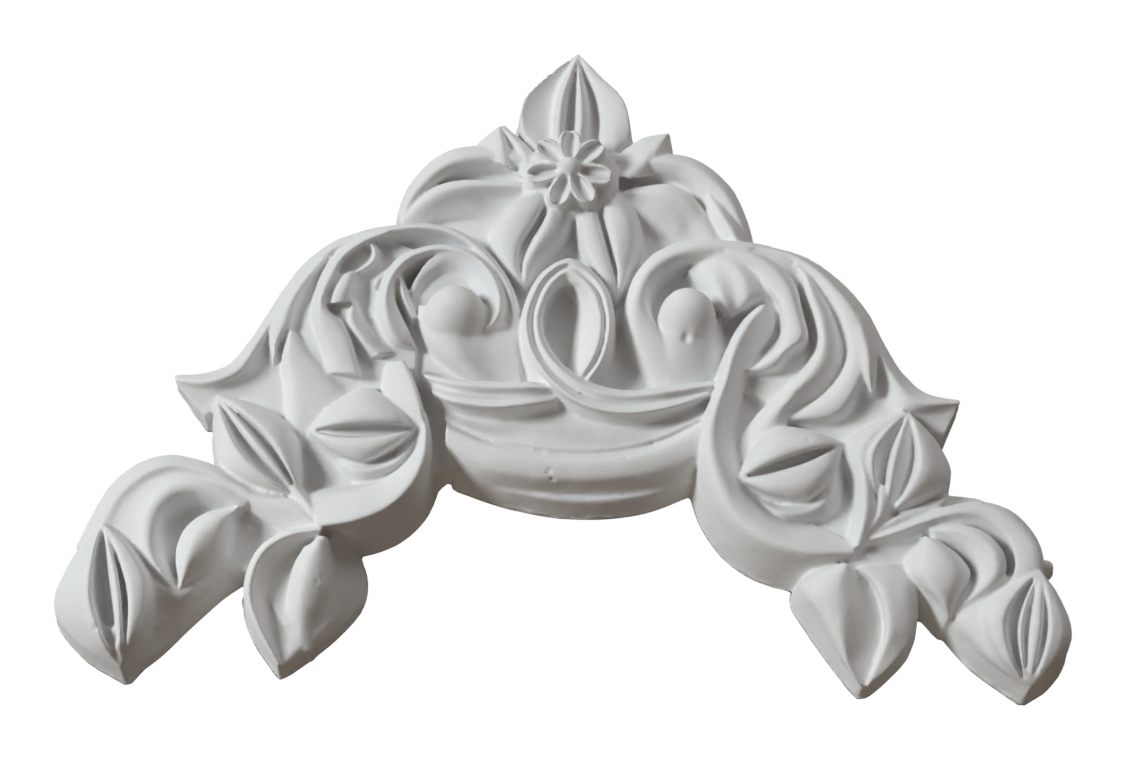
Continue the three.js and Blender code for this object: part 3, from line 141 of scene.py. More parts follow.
def under(grid):
    """Adds the solid under a grid of points: leaning side walls and a flat underside."""
    rows, wide = grid.shape[:2]
    last, edge = rows - 1, wide - 1
    points = list(grid.reshape(-1, 3))
    top = np.arange(rows * wide).reshape(rows, wide)
    foot = np.zeros((rows, 2), int)
    for i in range(rows):
        pointed = np.linalg.norm(grid[i, 0] - grid[i, edge]) < TIP_WIDTH
        for side, column in ((0, 0), (1, edge)):
            p = grid[i, column]
            run = grid[min(i + 1, last), column] - grid[max(i - 1, 0), column]
            run[2] = 0
            run /= max(np.linalg.norm(run), 1e-9)
            out = np.array([-run[1], run[0], 0]) * (1 - 2 * side)
            if not pointed and i in (0, last):
                out = out - run if i == 0 else out + run
                out /= np.linalg.norm(out)
            q = p + out * DRAFT * (p[2] + BURIED)
            foot[i, side] = len(points)
            points.append(np.array([q[0], q[1], -BURIED]))
    faces = []
    for i in range(last):
        for j in range(edge):
            faces.append((top[i, j], top[i + 1, j], top[i + 1, j + 1], top[i, j + 1]))
        faces += [(foot[i, 0], foot[i + 1, 0], top[i + 1, 0], top[i, 0]),
                  (top[i, edge], top[i + 1, edge], foot[i + 1, 1], foot[i, 1]),
                  (foot[i, 1], foot[i + 1, 1], foot[i + 1, 0], foot[i, 0])]
    faces.append(tuple([foot[0, 0]] + list(top[0]) + [foot[0, 1]]))
    faces.append(tuple([foot[last, 1]] + list(top[last][::-1]) + [foot[last, 0]]))
    add(points, faces)


def loft(*rails):
    """A form lofted between rails of trace points, given in their order across it."""
    curves = [[traced(m) for m in rail] for rail in rails]
    longest = max(spaced(c, length_only=True) for c in curves)
    rows = max(LEAST_ROWS, math.ceil(longest / ROW_LENGTH))
    lines = np.array([spaced(c, rows) for c in curves])
    half = rows // 2
    run, across = lines[0][half + 1] - lines[0][half], lines[-1][half] - lines[0][half]
    if run[0] * across[1] - run[1] * across[0] > 0:
        lines = lines[::-1]
    n = len(lines)
    columns = []
    for j in range(n - 1):
        a, b, c, d = [lines[min(max(k, 0), n - 1)] for k in (j - 1, j, j + 1, j + 2)]
        for s in range(STEPS_ACROSS):
            f = s / STEPS_ACROSS
            rise, fall = (c - a) / 2, (d - b) / 2
            columns.append(b + rise * f + (3 * (c - b) - 2 * rise - fall) * f * f
                           + (2 * (b - c) + rise + fall) * f ** 3)
    columns.append(lines[-1])
    under(np.stack(columns, axis=1))


def dome(x, y, radius, bottom, top):
    """A round dome on a drafted foot, seen at x, y on the trace sheet."""
    centre = traced((x, y, bottom))
    rims = [(radius + DRAFT * (bottom + BURIED), -BURIED)]
    for i in range(DOME_RINGS):
        turn = i / DOME_RINGS * math.pi / 2
        rims.append((radius * math.cos(turn), bottom + (top - bottom) * math.sin(turn)))
    points, faces = [], []
    for r, z in rims:
        for k in range(DOME_SIDES):
            turn = 2 * math.pi * k / DOME_SIDES
            points.append((centre[0] + r * math.cos(turn), centre[1] + r * math.sin(turn), z))
    points.append((centre[0], centre[1], top))
    pairs = [(k, (k + 1) % DOME_SIDES) for k in range(DOME_SIDES)]
    for base in range(0, DOME_RINGS * DOME_SIDES, DOME_SIDES):
        faces += [(base + k, base + m, base + DOME_SIDES + m, base + DOME_SIDES + k) for k, m in pairs]
    faces += [(DOME_RINGS * DOME_SIDES + k, DOME_RINGS * DOME_SIDES + m, len(points) - 1) for k, m in pairs]
    faces.append(tuple(range(DOME_SIDES - 1, -1, -1)))
    add(points, faces)


def plate(outline, height):
    """A flat-topped plate whose foot follows the outline on the back."""
    ring = [(x, y, 0.0) for x, y in outline]
    count = math.ceil(spaced(ring, closed=True, length_only=True) / PLATE_STEP)
    ring = spaced(ring, count, closed=True)[:-1]
    area = sum(a[0] * b[1] - a[1] * b[0] for a, b in zip(ring, np.roll(ring, -1, axis=0)))
    if area < 0:
        ring = ring[::-1]
    run = np.roll(ring, -1, axis=0) - np.roll(ring, 1, axis=0)
    run /= np.linalg.norm(run, axis=1)[:, None]
    inward = np.stack([-run[:, 1], run[:, 0], run[:, 0] * 0], axis=1) * DRAFT * (height + BURIED)
    n = len(ring)
    points = np.vstack([ring + inward + [0, 0, height], ring + [0, 0, -BURIED]])
    faces = [tuple(range(n)), tuple(range(2 * n - 1, n - 1, -1))]
    faces += [(i, n + i, n + (i + 1) % n, (i + 1) % n) for i in range(n)]
    add(points, faces)


def flower(x, y, angles):
    """Petals that are each a hollow spoon with a raised rim, round a button."""
    section = PETAL_HALF + [(-side, rise) for side, rise in PETAL_HALF[::-1]]
    for angle in angles:
        a = math.radians(angle)
        rails = []
        for side, rise in section:
            marks = []
            for far, wide in PETAL_COURSE:
                out, aside = far * PETAL_REACH, side * wide * PETAL_WIDTH / 2
                marks.append((x + out * math.cos(a) - aside * math.sin(a),
                              y + (out * math.sin(a) + aside * math.cos(a)) * PETAL_STRETCH, PETAL_HEIGHT + rise))
            rails.append(marks)
        loft(*rails)
    dome(x, y, BUTTON_RADIUS, PETAL_HEIGHT, PETAL_HEIGHT + BUTTON_RISE)


def bows(start, end, section, level):
    """A form whose rails all bow from one corner to the other, at levels that follow place, swell and rise."""
    (x1, y1), (x2, y2) = start, end
    size = math.hypot(x2 - x1, y2 - y1)
    aside = (-(y2 - y1) / size, (x2 - x1) / size)
    rails = []
    for reach, rise in section:
        marks = []
        for f in BOW_PLACES:
            swell = max(math.sin(math.pi * f), 0)
            marks.append((x1 + (x2 - x1) * f + aside[0] * reach * swell,
                          y1 + (y2 - y1) * f + aside[1] * reach * swell, level(f, swell, rise)))
        rails.append(marks)
    loft(*rails)


def eye(start, end, above, below, gape, height):
    """An eye bud between two corners: upper lid, slit and lower lid."""
    section = [(above, -12), (above * 0.8, -4), (above * 0.45, 0), (gape * 0.8, -1), (gape * 0.5, -7.5),
               (-gape * 0.8, -7.5), (-gape * 1.1, -3.5), (-below * 0.6, -3.5), (-below * 0.88, -7), (-below, -12)]
    corner = height - LID_RISE
    bows(start, end, section, lambda f, swell, rise: corner + (LID_RISE + rise) * math.sqrt(swell))


def pod(tip, end, height, ends, section):
    """A leaf between its tip and its foot, with raised lips round a hollow that holds a middle ridge."""
    def level(f, swell, rise):
        flat = ends[0] + (ends[1] - ends[0]) * f
        return flat + (height + rise - flat) * swell ** POD_FULLNESS
    bows(tip, end, section, level)


def tipped(tip, *rails):
    """The same form where all its rails end in one tip."""
    loft(*[rail + [tip] for rail in rails])


def spans(rails, *lengths):
    """The same form in lengths, each between two places in its rails, where it has to cross over itself."""
    for start, stop in lengths:
        loft(*[rail[start:stop] for rail in rails])


# Ground between the forms
plate([[-66, 46], [-60, 68], [-30, 86], [-18, 104], [0, 128], [16, 104], [32, 86], [58, 66], [67, 46]], 12)
plate([[-72, 44], [72, 44], [100, 28], [116, 6], [126, -16], [128, -40], [116, -60], [104, -86], [70, -84],
  [46, -62], [20, -68], [0, -70], [-20, -68], [-44, -61], [-62, -82], [-90, -88], [-122, -62], [-128, -40],
  [-126, -20], [-116, 6], [-98, 28]], 12)
plate([[-132, -42], [-134, -62], [-156, -68], [-170, -88], [-174, -112], [-154, -132], [-130, -116], [-118, -106],
  [-98, -128], [-82, -116], [-80, -92], [-96, -60], [-110, -40]], 11)
plate([[130, -42], [134, -62], [156, -68], [168, -88], [172, -110], [156, -132], [138, -122], [126, -108],
  [104, -130], [90, -114], [80, -92], [96, -60], [110, -40]], 11)

# Valleys of the shoulders, that rise towards the next leaf
loft([[-76, 38, 14], [-100, 22, 14], [-109, 0, 14], [-107, -20, 13], [-98, -42, 14]],
  [[-74, 34, 16], [-94, 20, 16.5], [-102, 0, 16.5], [-98, -18, 16.5], [-88, -36, 16]],
  [[-66, 32, 16], [-82, 20, 16], [-83, 4, 15.5], [-78, -10, 15.5], [-70, -32, 15]],
  [[-60, 28, 17], [-76, 18, 18], [-78, 4, 18], [-74, -8, 17], [-66, -26, 15]])
loft([[66, 32, 17], [78, 14, 17], [80, -2, 16], [72, -14, 16], [60, -26, 14]],
  [[76, 30, 16], [88, 16, 14], [90, -2, 13.5], [88, -18, 14.5], [76, -36, 16]],
  [[86, 26, 16], [97, 12, 16], [100, -4, 16], [96, -22, 15], [84, -44, 14]],
  [[94, 22, 15], [104, 8, 15], [108, -8, 15], [108, -26, 13], [100, -44, 12]])

# Apex leaf: hollow left side, a bud with a lip and a ridge, a groove, and the right side
tipped([-1, 133.5, 16], [[-12, 78, 14], [-22, 90, 16], [-24, 99, 18], [-22.5, 109, 18.5], [-13, 122, 17]],
  [[-11, 78, 12.5], [-18.5, 90, 14.5], [-20, 99, 15.5], [-18, 109, 15.5], [-11, 121, 15]],
  [[-10, 78, 12], [-11.5, 90, 12], [-11.5, 100, 12.5], [-10, 111, 13], [-6.5, 122, 14]],
  [[-9, 78, 17], [-10, 90, 20], [-9.6, 100, 21], [-8.3, 111, 21], [-5, 122, 19]],
  [[-7, 78, 17], [-7, 90, 20], [-6.8, 100, 21], [-5.8, 111, 21], [-3.6, 122, 19]],
  [[-4.5, 78, 12], [-4.5, 90, 12], [-4, 100, 12.5], [-3.5, 111, 13], [-2.4, 122, 14.5]],
  [[-1, 78, 16], [-1, 90, 18.5], [-0.6, 100, 19.5], [-0.8, 111, 19.5], [-1.2, 122, 17.5]],
  [[1.8, 78, 16], [2, 90, 18.5], [2.2, 100, 19.5], [1.5, 111, 19.5], [-0.2, 122, 17.5]],
  [[6, 78, 10], [6.5, 90, 10], [6.5, 100, 10.5], [5, 111, 11], [1.6, 122, 13]],
  [[9.5, 78, 14], [9.5, 90, 16], [9.3, 100, 17], [7.8, 110, 17.5], [3.2, 122, 17]],
  [[13, 79, 15], [15, 90, 18.5], [15, 100, 20], [13, 110, 20], [5.5, 122, 18]],
  [[15, 80, 14], [20.5, 90, 18], [20.5, 100, 20], [17.8, 110, 20], [9, 121, 17.5]])

# Upper fronds on the left: pointed leaf, upper frond, lower frond
loft([[-45, 79, 13], [-39, 87, 15], [-33, 93.5, 16]], [[-31, 74, 21], [-31.5, 84, 20.5], [-33, 93.5, 16.5]],
  [[-26, 70, 15], [-28, 82, 15], [-32.5, 93, 15]], [[-20.5, 66, 19], [-22, 79, 19], [-32, 93.5, 16]],
  [[-17, 66, 15], [-18, 79, 15], [-31, 94, 14]])
loft([[-72, 46, 12], [-69, 60, 15], [-58, 76.5, 16], [-44, 83, 16], [-12, 80, 15]],
  [[-70, 46, 15], [-65.5, 60, 20], [-55, 73, 22], [-42, 78, 21], [-12, 76, 17]],
  [[-68.5, 46, 14], [-61, 59.5, 18], [-52, 69, 18.5], [-38, 72, 17], [-12, 72, 15]],
  [[-67, 44, 11], [-58, 60, 13], [-48, 66.5, 13], [-33, 68, 12], [-12, 68, 12]])
loft([[-71, 46, 13], [-62, 58.5, 16.5], [-50, 65, 17.5], [-32, 65.3, 17], [-12, 65.5, 15]],
  [[-70, 44, 15], [-60, 56, 20.5], [-48, 62.5, 21.5], [-31, 63, 20.5], [-12, 63, 17]],
  [[-68, 38, 13], [-56, 50, 17], [-44, 56, 17], [-32, 56, 14], [-12, 56, 14]],
  [[-66, 34, 12], [-55, 44, 13.5], [-42, 47, 13], [-33, 48, 12], [-12, 48, 13]])
# and on the right
loft([[12, 76, 15], [26, 89, 16.5], [37, 92, 17]], [[19, 68, 21], [29, 79.5, 21.5], [37, 92, 17.5]],
  [[35, 71, 14], [38.5, 80.5, 13], [37.5, 92, 15]])
loft([[8, 80, 15], [30, 82, 16], [47, 79.5, 16], [61, 67, 16], [68, 50, 14], [71, 34, 12]],
  [[8, 76, 17], [30, 78, 21], [45, 75.5, 21.5], [58, 64, 21], [65, 48, 18], [68, 34, 14]],
  [[8, 71, 15], [30, 73, 18], [43, 70, 18.5], [53, 60, 17], [59, 47, 14], [64, 35, 12]],
  [[8, 67, 12], [30, 69, 13], [42, 66, 13], [49.5, 58, 13], [55, 47, 12], [61, 36, 11]])
loft([[52.5, 63.5, 17], [59, 55, 19], [64.5, 46, 18.5], [69, 34, 14]], [[52, 63, 17.5], [56.5, 54, 21.3],
  [61, 45.5, 21.3], [66, 34, 16]], [[51.5, 62.5, 17], [53.5, 53.5, 17.5], [57.5, 44.5, 17], [62, 34, 13]])
loft([[10, 60, 15], [24, 64, 17], [36, 66, 18], [45, 62, 18], [52, 52, 15], [61, 36, 12]],
  [[10, 55, 17], [24, 60.5, 20], [35, 62.5, 22], [43.5, 58, 21], [50, 48, 17], [59, 34, 12]],
  [[12, 48, 14], [25, 52, 17], [34, 54, 19.5], [41, 50, 18], [45, 43, 14], [54, 32, 12]],
  [[14, 40, 11], [26, 40, 11], [33, 40, 12], [38, 38, 12], [42, 34, 11], [50, 28, 10]])

# Small leaves under the flower, each with a slit
tipped([-20, 14, 17], [[-18, 62, 19], [-28, 52, 19], [-34, 38, 18], [-29, 24, 18]],
  [[-16, 60, 24], [-25, 50, 25], [-30, 38, 24], [-27, 26, 22]], [[-13, 57, 23], [-18, 46, 24], [-23, 35, 24],
  [-23.5, 26, 22]], [[-11.5, 56, 17], [-15, 45, 16], [-20, 35, 16], [-22, 26, 17]],
  [[-10, 55, 23], [-12.5, 44.5, 25], [-17, 34, 25], [-20, 25, 22]], [[-5, 52, 23], [-6.5, 42, 22.5], [-12, 32, 22],
  [-17, 23, 20]], [[-1, 50, 18], [-3, 40, 16], [-9, 29, 15], [-15, 20, 15]])
tipped([16, 8, 17], [[-1, 50, 18], [0, 40, 17], [3, 29, 17], [9, 19, 17]], [[1.5, 51, 23], [3, 41, 24], [6, 30, 24],
  [11, 20, 22]], [[6.5, 51, 23], [9, 41, 24], [12, 30, 24], [14.5, 20, 22]],
  [[9, 51, 16], [11.5, 41, 16], [14, 30, 16], [16, 20, 17]], [[11, 54, 23], [13.5, 43, 25.5], [15.5, 33, 25],
  [17, 22, 22]], [[15, 58, 23], [20.5, 46, 25], [21.5, 34, 24], [19.5, 21, 21]],
  [[18, 61, 18], [25, 47, 18], [25.8, 35, 18], [21.5, 20, 17]])

# Flower
dome(-2, 68, 18.5, 21, 26)
flower(-3.5, 73, [90, 43, -13, -60, -108, 193, 137])

# Left volute: outer ring, the crescent that runs on as the curl's rim, the curl's funnel and floor, cone
# and ball
loft([[-88, 38, 18], [-74, 42, 20], [-60, 43.5, 21], [-48, 41, 21], [-38, 34, 21], [-29, 23, 21], [-23, 10, 21],
  [-20, -4, 18], [-17.5, -17, 14.5], [-16, -30, 11]], [[-87, 36, 21], [-74, 40, 23.5], [-60, 41.7, 24.5],
  [-48.7, 39, 24.5], [-39.3, 32.3, 24.5], [-30.7, 21.7, 24.5], [-24.8, 9.5, 24], [-22.5, -4, 20.5],
  [-20, -17, 16.5], [-18.5, -30, 12]], [[-85, 32, 17], [-74, 35, 17.5], [-61, 37, 18], [-50, 35.5, 18],
  [-42, 30.5, 18.5], [-34, 20, 18.5], [-28.5, 8, 19], [-27, -4, 20], [-25, -17, 17.5], [-23, -30, 13]])
loft([[-61, -15.5, 15], [-69.5, -13.5, 17], [-75, -3, 18.5], [-77, 8, 19], [-75, 18, 20], [-69, 28, 21],
  [-59, 32.7, 22], [-48, 33.2, 22.5], [-38, 29, 22.5], [-30.5, 20, 22.5], [-27, 9, 22.5], [-27.5, 1, 22.5],
  [-32, -6, 21], [-39, -8.5, 19]], [[-61, -14.5, 17], [-67.5, -10.5, 21.5], [-72, -3, 25], [-74, 8, 26],
  [-72, 18.5, 26], [-66.5, 26.5, 26], [-58, 31, 26.5], [-48, 31.5, 27], [-39, 27.5, 27], [-32.3, 19, 27],
  [-29, 9, 27], [-29.5, 1.5, 26.5], [-33, -4.5, 24.5], [-39, -7.8, 20.5]], [[-60.5, -13.5, 16], [-63, -8.5, 19.5],
  [-66.5, -1, 21], [-70.5, 9, 22], [-69.3, 18, 22], [-64, 25.3, 22.5], [-57, 29, 23.5], [-48, 29.5, 25.5],
  [-40, 25.7, 25.5], [-34, 17.7, 25.5], [-31, 8, 25.5], [-31.5, 2, 25], [-34, -3.3, 23], [-39, -7.2, 19.5]])
loft([[-64.5, 11, 19], [-62, 19, 21], [-57, 27, 23], [-48, 29.5, 25.5], [-40, 25.5, 25.5], [-34, 17.5, 25.5],
  [-31.5, 8, 25.5], [-32, 2, 25], [-34, -3, 23], [-39, -7, 19.5]], [[-63.5, 9, 19], [-60, 17.5, 20.5],
  [-54.5, 24, 22], [-48, 26, 23], [-41.5, 22.5, 23], [-37, 15.5, 23], [-34, 8, 24], [-34, 1.5, 23.5],
  [-36, -4, 21.5], [-39, -7, 19]], [[-62, 5, 16], [-58.5, 14, 17], [-53, 19.5, 17.5], [-47, 20.5, 18],
  [-42.5, 18, 18], [-38.5, 12, 19], [-35, 5, 19], [-34.5, 0, 19], [-37, -4.5, 18], [-39, -7, 18]])
loft([[-63, 4, 16], [-59, 14, 17], [-50, 20, 17.5], [-42, 18, 17.5]], [[-61, 2, 17], [-56, 12, 17], [-48, 16, 17],
  [-41, 14, 17]], [[-57, 2, 16], [-52, 8, 16], [-46, 10, 16], [-40, 8, 16]])
loft([[-61, 5, 18.5], [-58.5, -7, 18], [-53.5, -16, 16], [-45, -25, 13.5], [-36, -31, 11]],
  [[-56, 4, 24], [-55, -7, 23.5], [-50, -16, 21.5], [-42.5, -24, 17.5], [-34, -31, 12]],
  [[-46, 4, 27], [-46, -8, 26.5], [-42.5, -16.5, 23.5], [-37.5, -24, 18.5], [-31, -31, 12.5]],
  [[-35, 0, 23], [-34.5, -10, 22], [-32, -17.5, 19.5], [-29, -24.5, 16], [-27, -31, 12]],
  [[-25, -3, 20], [-22.5, -10, 19.5], [-21, -17, 17.5], [-20, -24, 15.5], [-19, -31, 12.5]])
dome(-46, -0.5, 12, 21, 34.5)

# Right volute: outer ring, cone, lobes, ball
loft([[29, -31, 11], [23, -15, 16], [19.3, 2, 20], [22, 18, 21], [29, 30, 21], [38, 36.5, 21], [50, 39.5, 21],
  [70, 38.5, 19]], [[33, -31, 13], [27, -15, 20], [22.6, 3, 25], [25, 17, 26], [31, 27.5, 26], [39.5, 33.5, 26],
  [50, 36.5, 26], [70, 36, 23]], [[38, -31, 14], [33, -15, 21.5], [26.8, 2, 24.5], [28, 15, 24], [33.5, 24.5, 24],
  [41, 29.5, 24], [50, 31.5, 24], [64, 32, 24]], [[43, -31, 14], [40, -15, 21.5], [32, -3, 22], [29.5, 7, 17],
  [31.3, 14, 16.5], [36, 21.5, 16.5], [43, 26, 17], [50, 26.5, 19], [58, 24, 20]])
loft([[44, 24, 18], [50, 17.5, 19], [54.5, 9, 18], [58, 2, 14]], [[49, 30.5, 20], [54.5, 19.5, 24.5],
  [58, 10, 23.5], [61, 2, 17]], [[54, 33, 24], [60.5, 20, 24.5], [62, 10, 22], [61.5, 2.5, 17]],
  [[59, 34, 24], [66, 21.5, 26.5], [67.5, 12.5, 24.5], [63.5, 5, 18]], [[64, 32, 22], [72.5, 21, 22.5],
  [73, 13, 21.5], [68, 8, 18]], [[68, 28, 18], [77, 18, 18], [77, 9, 17], [71, 7, 15]])
loft([[30.5, 0, 17], [30.5, -14, 17], [34, -31, 12]], [[35, 1, 23.5], [36, -13, 22.5], [38.5, -31, 13.5]],
  [[43, 1, 25.5], [43.5, -12, 23.5], [44, -30, 14]], [[50.5, 1, 23.5], [51, -12, 20.5], [49, -31, 13]],
  [[57, 3, 15], [57.5, -12, 13.5], [54, -31, 11]])
dome(43.5, 2, 11, 21, 34)

# Ribbon: a band that comes up the right of the loop, over its top, down its left side and on to the right.
# It crosses over itself, so it is made in two lengths. Then the left band.
spans([[[6, -30, 19], [12.5, -19, 21], [15, -8, 22], [15, 5, 22], [12, 15.5, 22], [5.5, 24, 22.5], [-3, 28.5, 23],
  [-13, 22, 23], [-19, 9, 23.5], [-20.3, -2, 23.5], [-18, -14, 23.5], [-11, -27, 23.5], [1, -37.5, 23.5],
  [18, -42, 23.5], [35, -39.5, 22.5], [51, -33, 19]], [[4.5, -28.5, 24], [10.5, -18, 26], [13, -8, 27.5],
  [13.2, 4, 28], [10.5, 14.5, 28], [4.3, 22.5, 28], [-3, 26.8, 28.5], [-12, 20.5, 28.5], [-17.5, 8, 28.5],
  [-18.8, -2, 28.5], [-16.5, -14, 28.5], [-9.5, -26, 29], [2, -36, 29], [18, -40.3, 29], [35, -38, 28],
  [51, -32, 22]], [[3, -27.5, 21.5], [8.5, -17.5, 23.5], [11, -8, 24.5], [11.2, 3.5, 25], [8.5, 13.3, 25.5],
  [2.8, 20.8, 26], [-3, 24.3, 26], [-10.5, 18.5, 26], [-15.2, 7, 26], [-16.3, -2, 25.5], [-14.2, -12.5, 25.5],
  [-7.2, -24, 26], [4, -33, 26], [18, -36.5, 25.5], [35, -34.5, 24.5], [52, -29.5, 20]],
  [[1.5, -27, 23.5], [6.5, -17, 26], [8.8, -8, 27], [9, 3, 27.5], [6.5, 12, 28], [1.3, 18.5, 28], [-3, 21.8, 28],
  [-9, 16.5, 28], [-13.2, 6, 28], [-14.2, -2, 28], [-12.2, -11.5, 28], [-5.2, -22, 28.5], [6, -30.5, 28.5],
  [19, -33, 28], [35, -31, 27], [53, -27.5, 21.5]], [[-2.5, -24, 16], [-1, -13, 14], [-0.5, -4, 13.5],
  [-0.5, 3, 13.5], [-1, 9, 14], [-2.5, 13, 15], [-4.5, 15, 16], [-8, 12.5, 18], [-11.3, 4.5, 19], [-12.3, -2, 19],
  [-10.5, -10, 19], [-3.5, -20.5, 22], [8, -28, 23], [20, -30.5, 23], [35, -28.5, 22], [54, -25.5, 18]]], [0, 7],
  [3, 16])
loft([[-4, -29, 20], [-15, -28, 21.5], [-30, -28.5, 21.5], [-45, -27.5, 21.5], [-58, -25.5, 18]],
  [[-5, -31, 23], [-16, -30.3, 27], [-30, -30.8, 27.5], [-44, -29.8, 27], [-56, -27.3, 21]],
  [[-6, -33.5, 21.5], [-17, -34, 23.5], [-30, -34.7, 23.5], [-43, -33.5, 23.5], [-54, -30, 19]],
  [[-7, -36, 23], [-19, -38, 27.5], [-32, -39, 27.5], [-44, -37.3, 26.5], [-53, -34, 21]],
  [[-6, -38.5, 19], [-19, -40.8, 22], [-33, -41.5, 22], [-45, -39.5, 21], [-52, -36, 17]])

# Bib: apron, crease and roll, then cove and fillet
loft([[-54, -32, 15], [-20, -34, 16], [20, -34, 16], [56, -30, 15]], [[-49, -40, 16], [-25, -46, 17.5],
  [3, -49, 18], [28, -46, 17.5], [51, -37, 16]], [[-47.5, -45, 19], [-26, -53, 21], [3, -56.3, 21], [28, -52, 21],
  [50.5, -40.5, 20]], [[-47, -46.5, 18], [-27, -54.8, 19], [3, -58.3, 19], [28, -54.2, 19], [50.5, -42, 18.5]],
  [[-47, -49, 21.5], [-28, -57.5, 23.3], [3, -61, 23.5], [29, -57, 23.3], [50.5, -45.5, 22]],
  [[-47, -55, 21], [-30, -64.5, 21.5], [2, -68, 21.5], [30, -64, 21.5], [49.5, -54, 21]],
  [[-45.5, -59, 17.5], [-33, -67.8, 17], [2, -71.5, 17], [33, -67.8, 17], [48, -60, 17.5]])
loft([[-45, -60, 8], [-22, -66, 8], [2, -69, 8], [26, -66, 8], [47, -59, 8]],
  [[-43, -64.5, 8], [-22, -71, 8], [2, -74.3, 8], [26, -71.5, 8], [46, -63, 8]],
  [[-42, -66.5, 12], [-22, -73.3, 12], [2, -76.6, 12], [26, -73.8, 12], [46, -65, 11.5]],
  [[-42.5, -68.3, 10.5], [-22, -75.2, 10.5], [2, -78.6, 10.5], [26, -75.8, 10.5], [46.5, -66.8, 10.5]])

# C band on the left, and the stub lobe over it
loft([[-54.8, -42, 20], [-53, -52, 22], [-53.2, -62, 23], [-57, -74, 23], [-65.5, -83.3, 23], [-78, -89, 22],
  [-91, -90.5, 19]], [[-55.5, -42, 24], [-54, -52, 26], [-54.5, -62, 27.5], [-58.8, -72.5, 27.5], [-67, -81.5, 27],
  [-78.5, -86.8, 26], [-91, -89.5, 22]], [[-56.5, -43, 23], [-55.5, -52, 24.5], [-57.5, -61, 24.5],
  [-62, -68, 23.5], [-70, -74, 22], [-80, -77, 21], [-94, -80, 18]], [[-58, -44, 17], [-58, -52, 14],
  [-60.5, -60, 12], [-65, -65, 12], [-72, -70.5, 12], [-82, -73, 12], [-96, -76, 12]])
loft([[-71.3, -21.5, 20], [-71.3, -32, 20], [-67, -41, 20], [-57, -50, 19]],
  [[-70.3, -21, 22], [-70, -32, 22.5], [-65.5, -41, 23], [-56.3, -50, 21.5]],
  [[-65, -20.5, 24], [-60.5, -32, 27], [-57, -42, 27], [-54.3, -50, 24]], [[-64, -20.5, 21], [-59.3, -31, 23],
  [-56, -42, 24], [-53.5, -50, 21]])
# C band on the right: from the shoulder down and round to the knot, then up the far side
loft([[72, 9.5, 18], [65, 2, 20], [59, -10, 21], [55, -25, 21], [49.5, -40, 21], [47.3, -52, 21], [48.3, -64, 21],
  [53, -78, 21], [61, -89, 21], [71, -96, 20.5], [85, -99.5, 20], [102, -97.5, 18]],
  [[73.5, 8.5, 22], [67.5, 1.5, 25], [61.5, -10, 26], [57.5, -25, 26], [52.5, -40, 26], [50.5, -52, 26],
  [52, -63, 26.5], [56.5, -76, 26.5], [64, -86, 26], [73, -92, 26], [86, -95.5, 25], [102, -95.5, 21]],
  [[75, 8.5, 20], [70.5, 0, 22.5], [64.5, -12, 23.5], [60, -26, 23.5], [55.5, -41, 24], [54.5, -52, 24.5],
  [56.5, -62, 24.5], [61, -72.5, 24], [68, -81, 23.5], [76, -86.5, 23], [87, -90, 22], [102, -93.5, 20]],
  [[78, 9, 16], [77, -1, 15.5], [71, -13, 15], [65, -28, 14.5], [61, -42, 14.5], [60.5, -52, 14], [62.5, -61, 13.5],
  [67, -69, 13], [73, -76, 13], [80, -81.5, 13], [90, -85.5, 14], [100, -90, 16]])
loft([[100, -91, 17], [103.3, -80, 17], [103.5, -66, 17], [99.5, -53, 18.5], [107, -45.5, 17], [124, -36, 16]],
  [[103, -93, 21], [106.5, -80, 24], [107.3, -66, 25], [106.8, -55, 25], [111.5, -46.5, 23.5], [125, -37, 18]],
  [[106, -91, 20], [110, -79.5, 22], [110.8, -67, 23], [110.3, -57, 23], [114.5, -48.5, 22], [126, -38, 17]])

# Eye buds, each with a fold under its lower lid
eye([-98, -51.5], [-57, -49], 18, 14, 3.6, 31)
loft([[-88, -60, 15], [-77, -64, 17], [-66, -61.5, 18], [-57.5, -51, 18]], [[-85, -65, 17], [-77, -67.5, 21],
  [-65.5, -64.5, 21.5], [-56.8, -53, 20]], [[-83, -69.5, 14], [-76, -71.8, 16], [-64.5, -68, 16], [-55.8, -55, 15]])
eye([61, -67], [101, -51], 15, 17, 2.9, 31)
loft([[64, -71, 15], [76, -77, 17], [89, -73, 17], [97, -58, 17]], [[66, -74.5, 17], [77, -80.5, 20],
  [91, -76.5, 20], [99, -58, 19]], [[69, -78.5, 14], [79, -84.5, 14], [95, -80, 14], [101.5, -58, 14]])

# Second buds
pod([-134, -37], [-98, -79], 26, SECOND_POD, [[-15, -10], [-12, -4], [-9.3, -0.5], [-6.8, 0.5], [-5.2, -5],
  [-2.9, -8], [-1.4, -1], [0.5, 0], [2, -7], [3.4, -6.5], [5, 0.5], [8, -0.5], [11, -4], [14, -10]])
pod([126.5, -37], [115, -80], 26, SECOND_POD, [[-14.5, -8], [-12, -1.5], [-9.5, 0], [-7.8, -5], [-4.8, -8],
  [-3, -1], [-1.2, 0], [0.8, -3], [3.2, -5], [5, -8], [7, 0], [10, 0.5], [14, -2], [17.5, -6], [19.5, -10]])

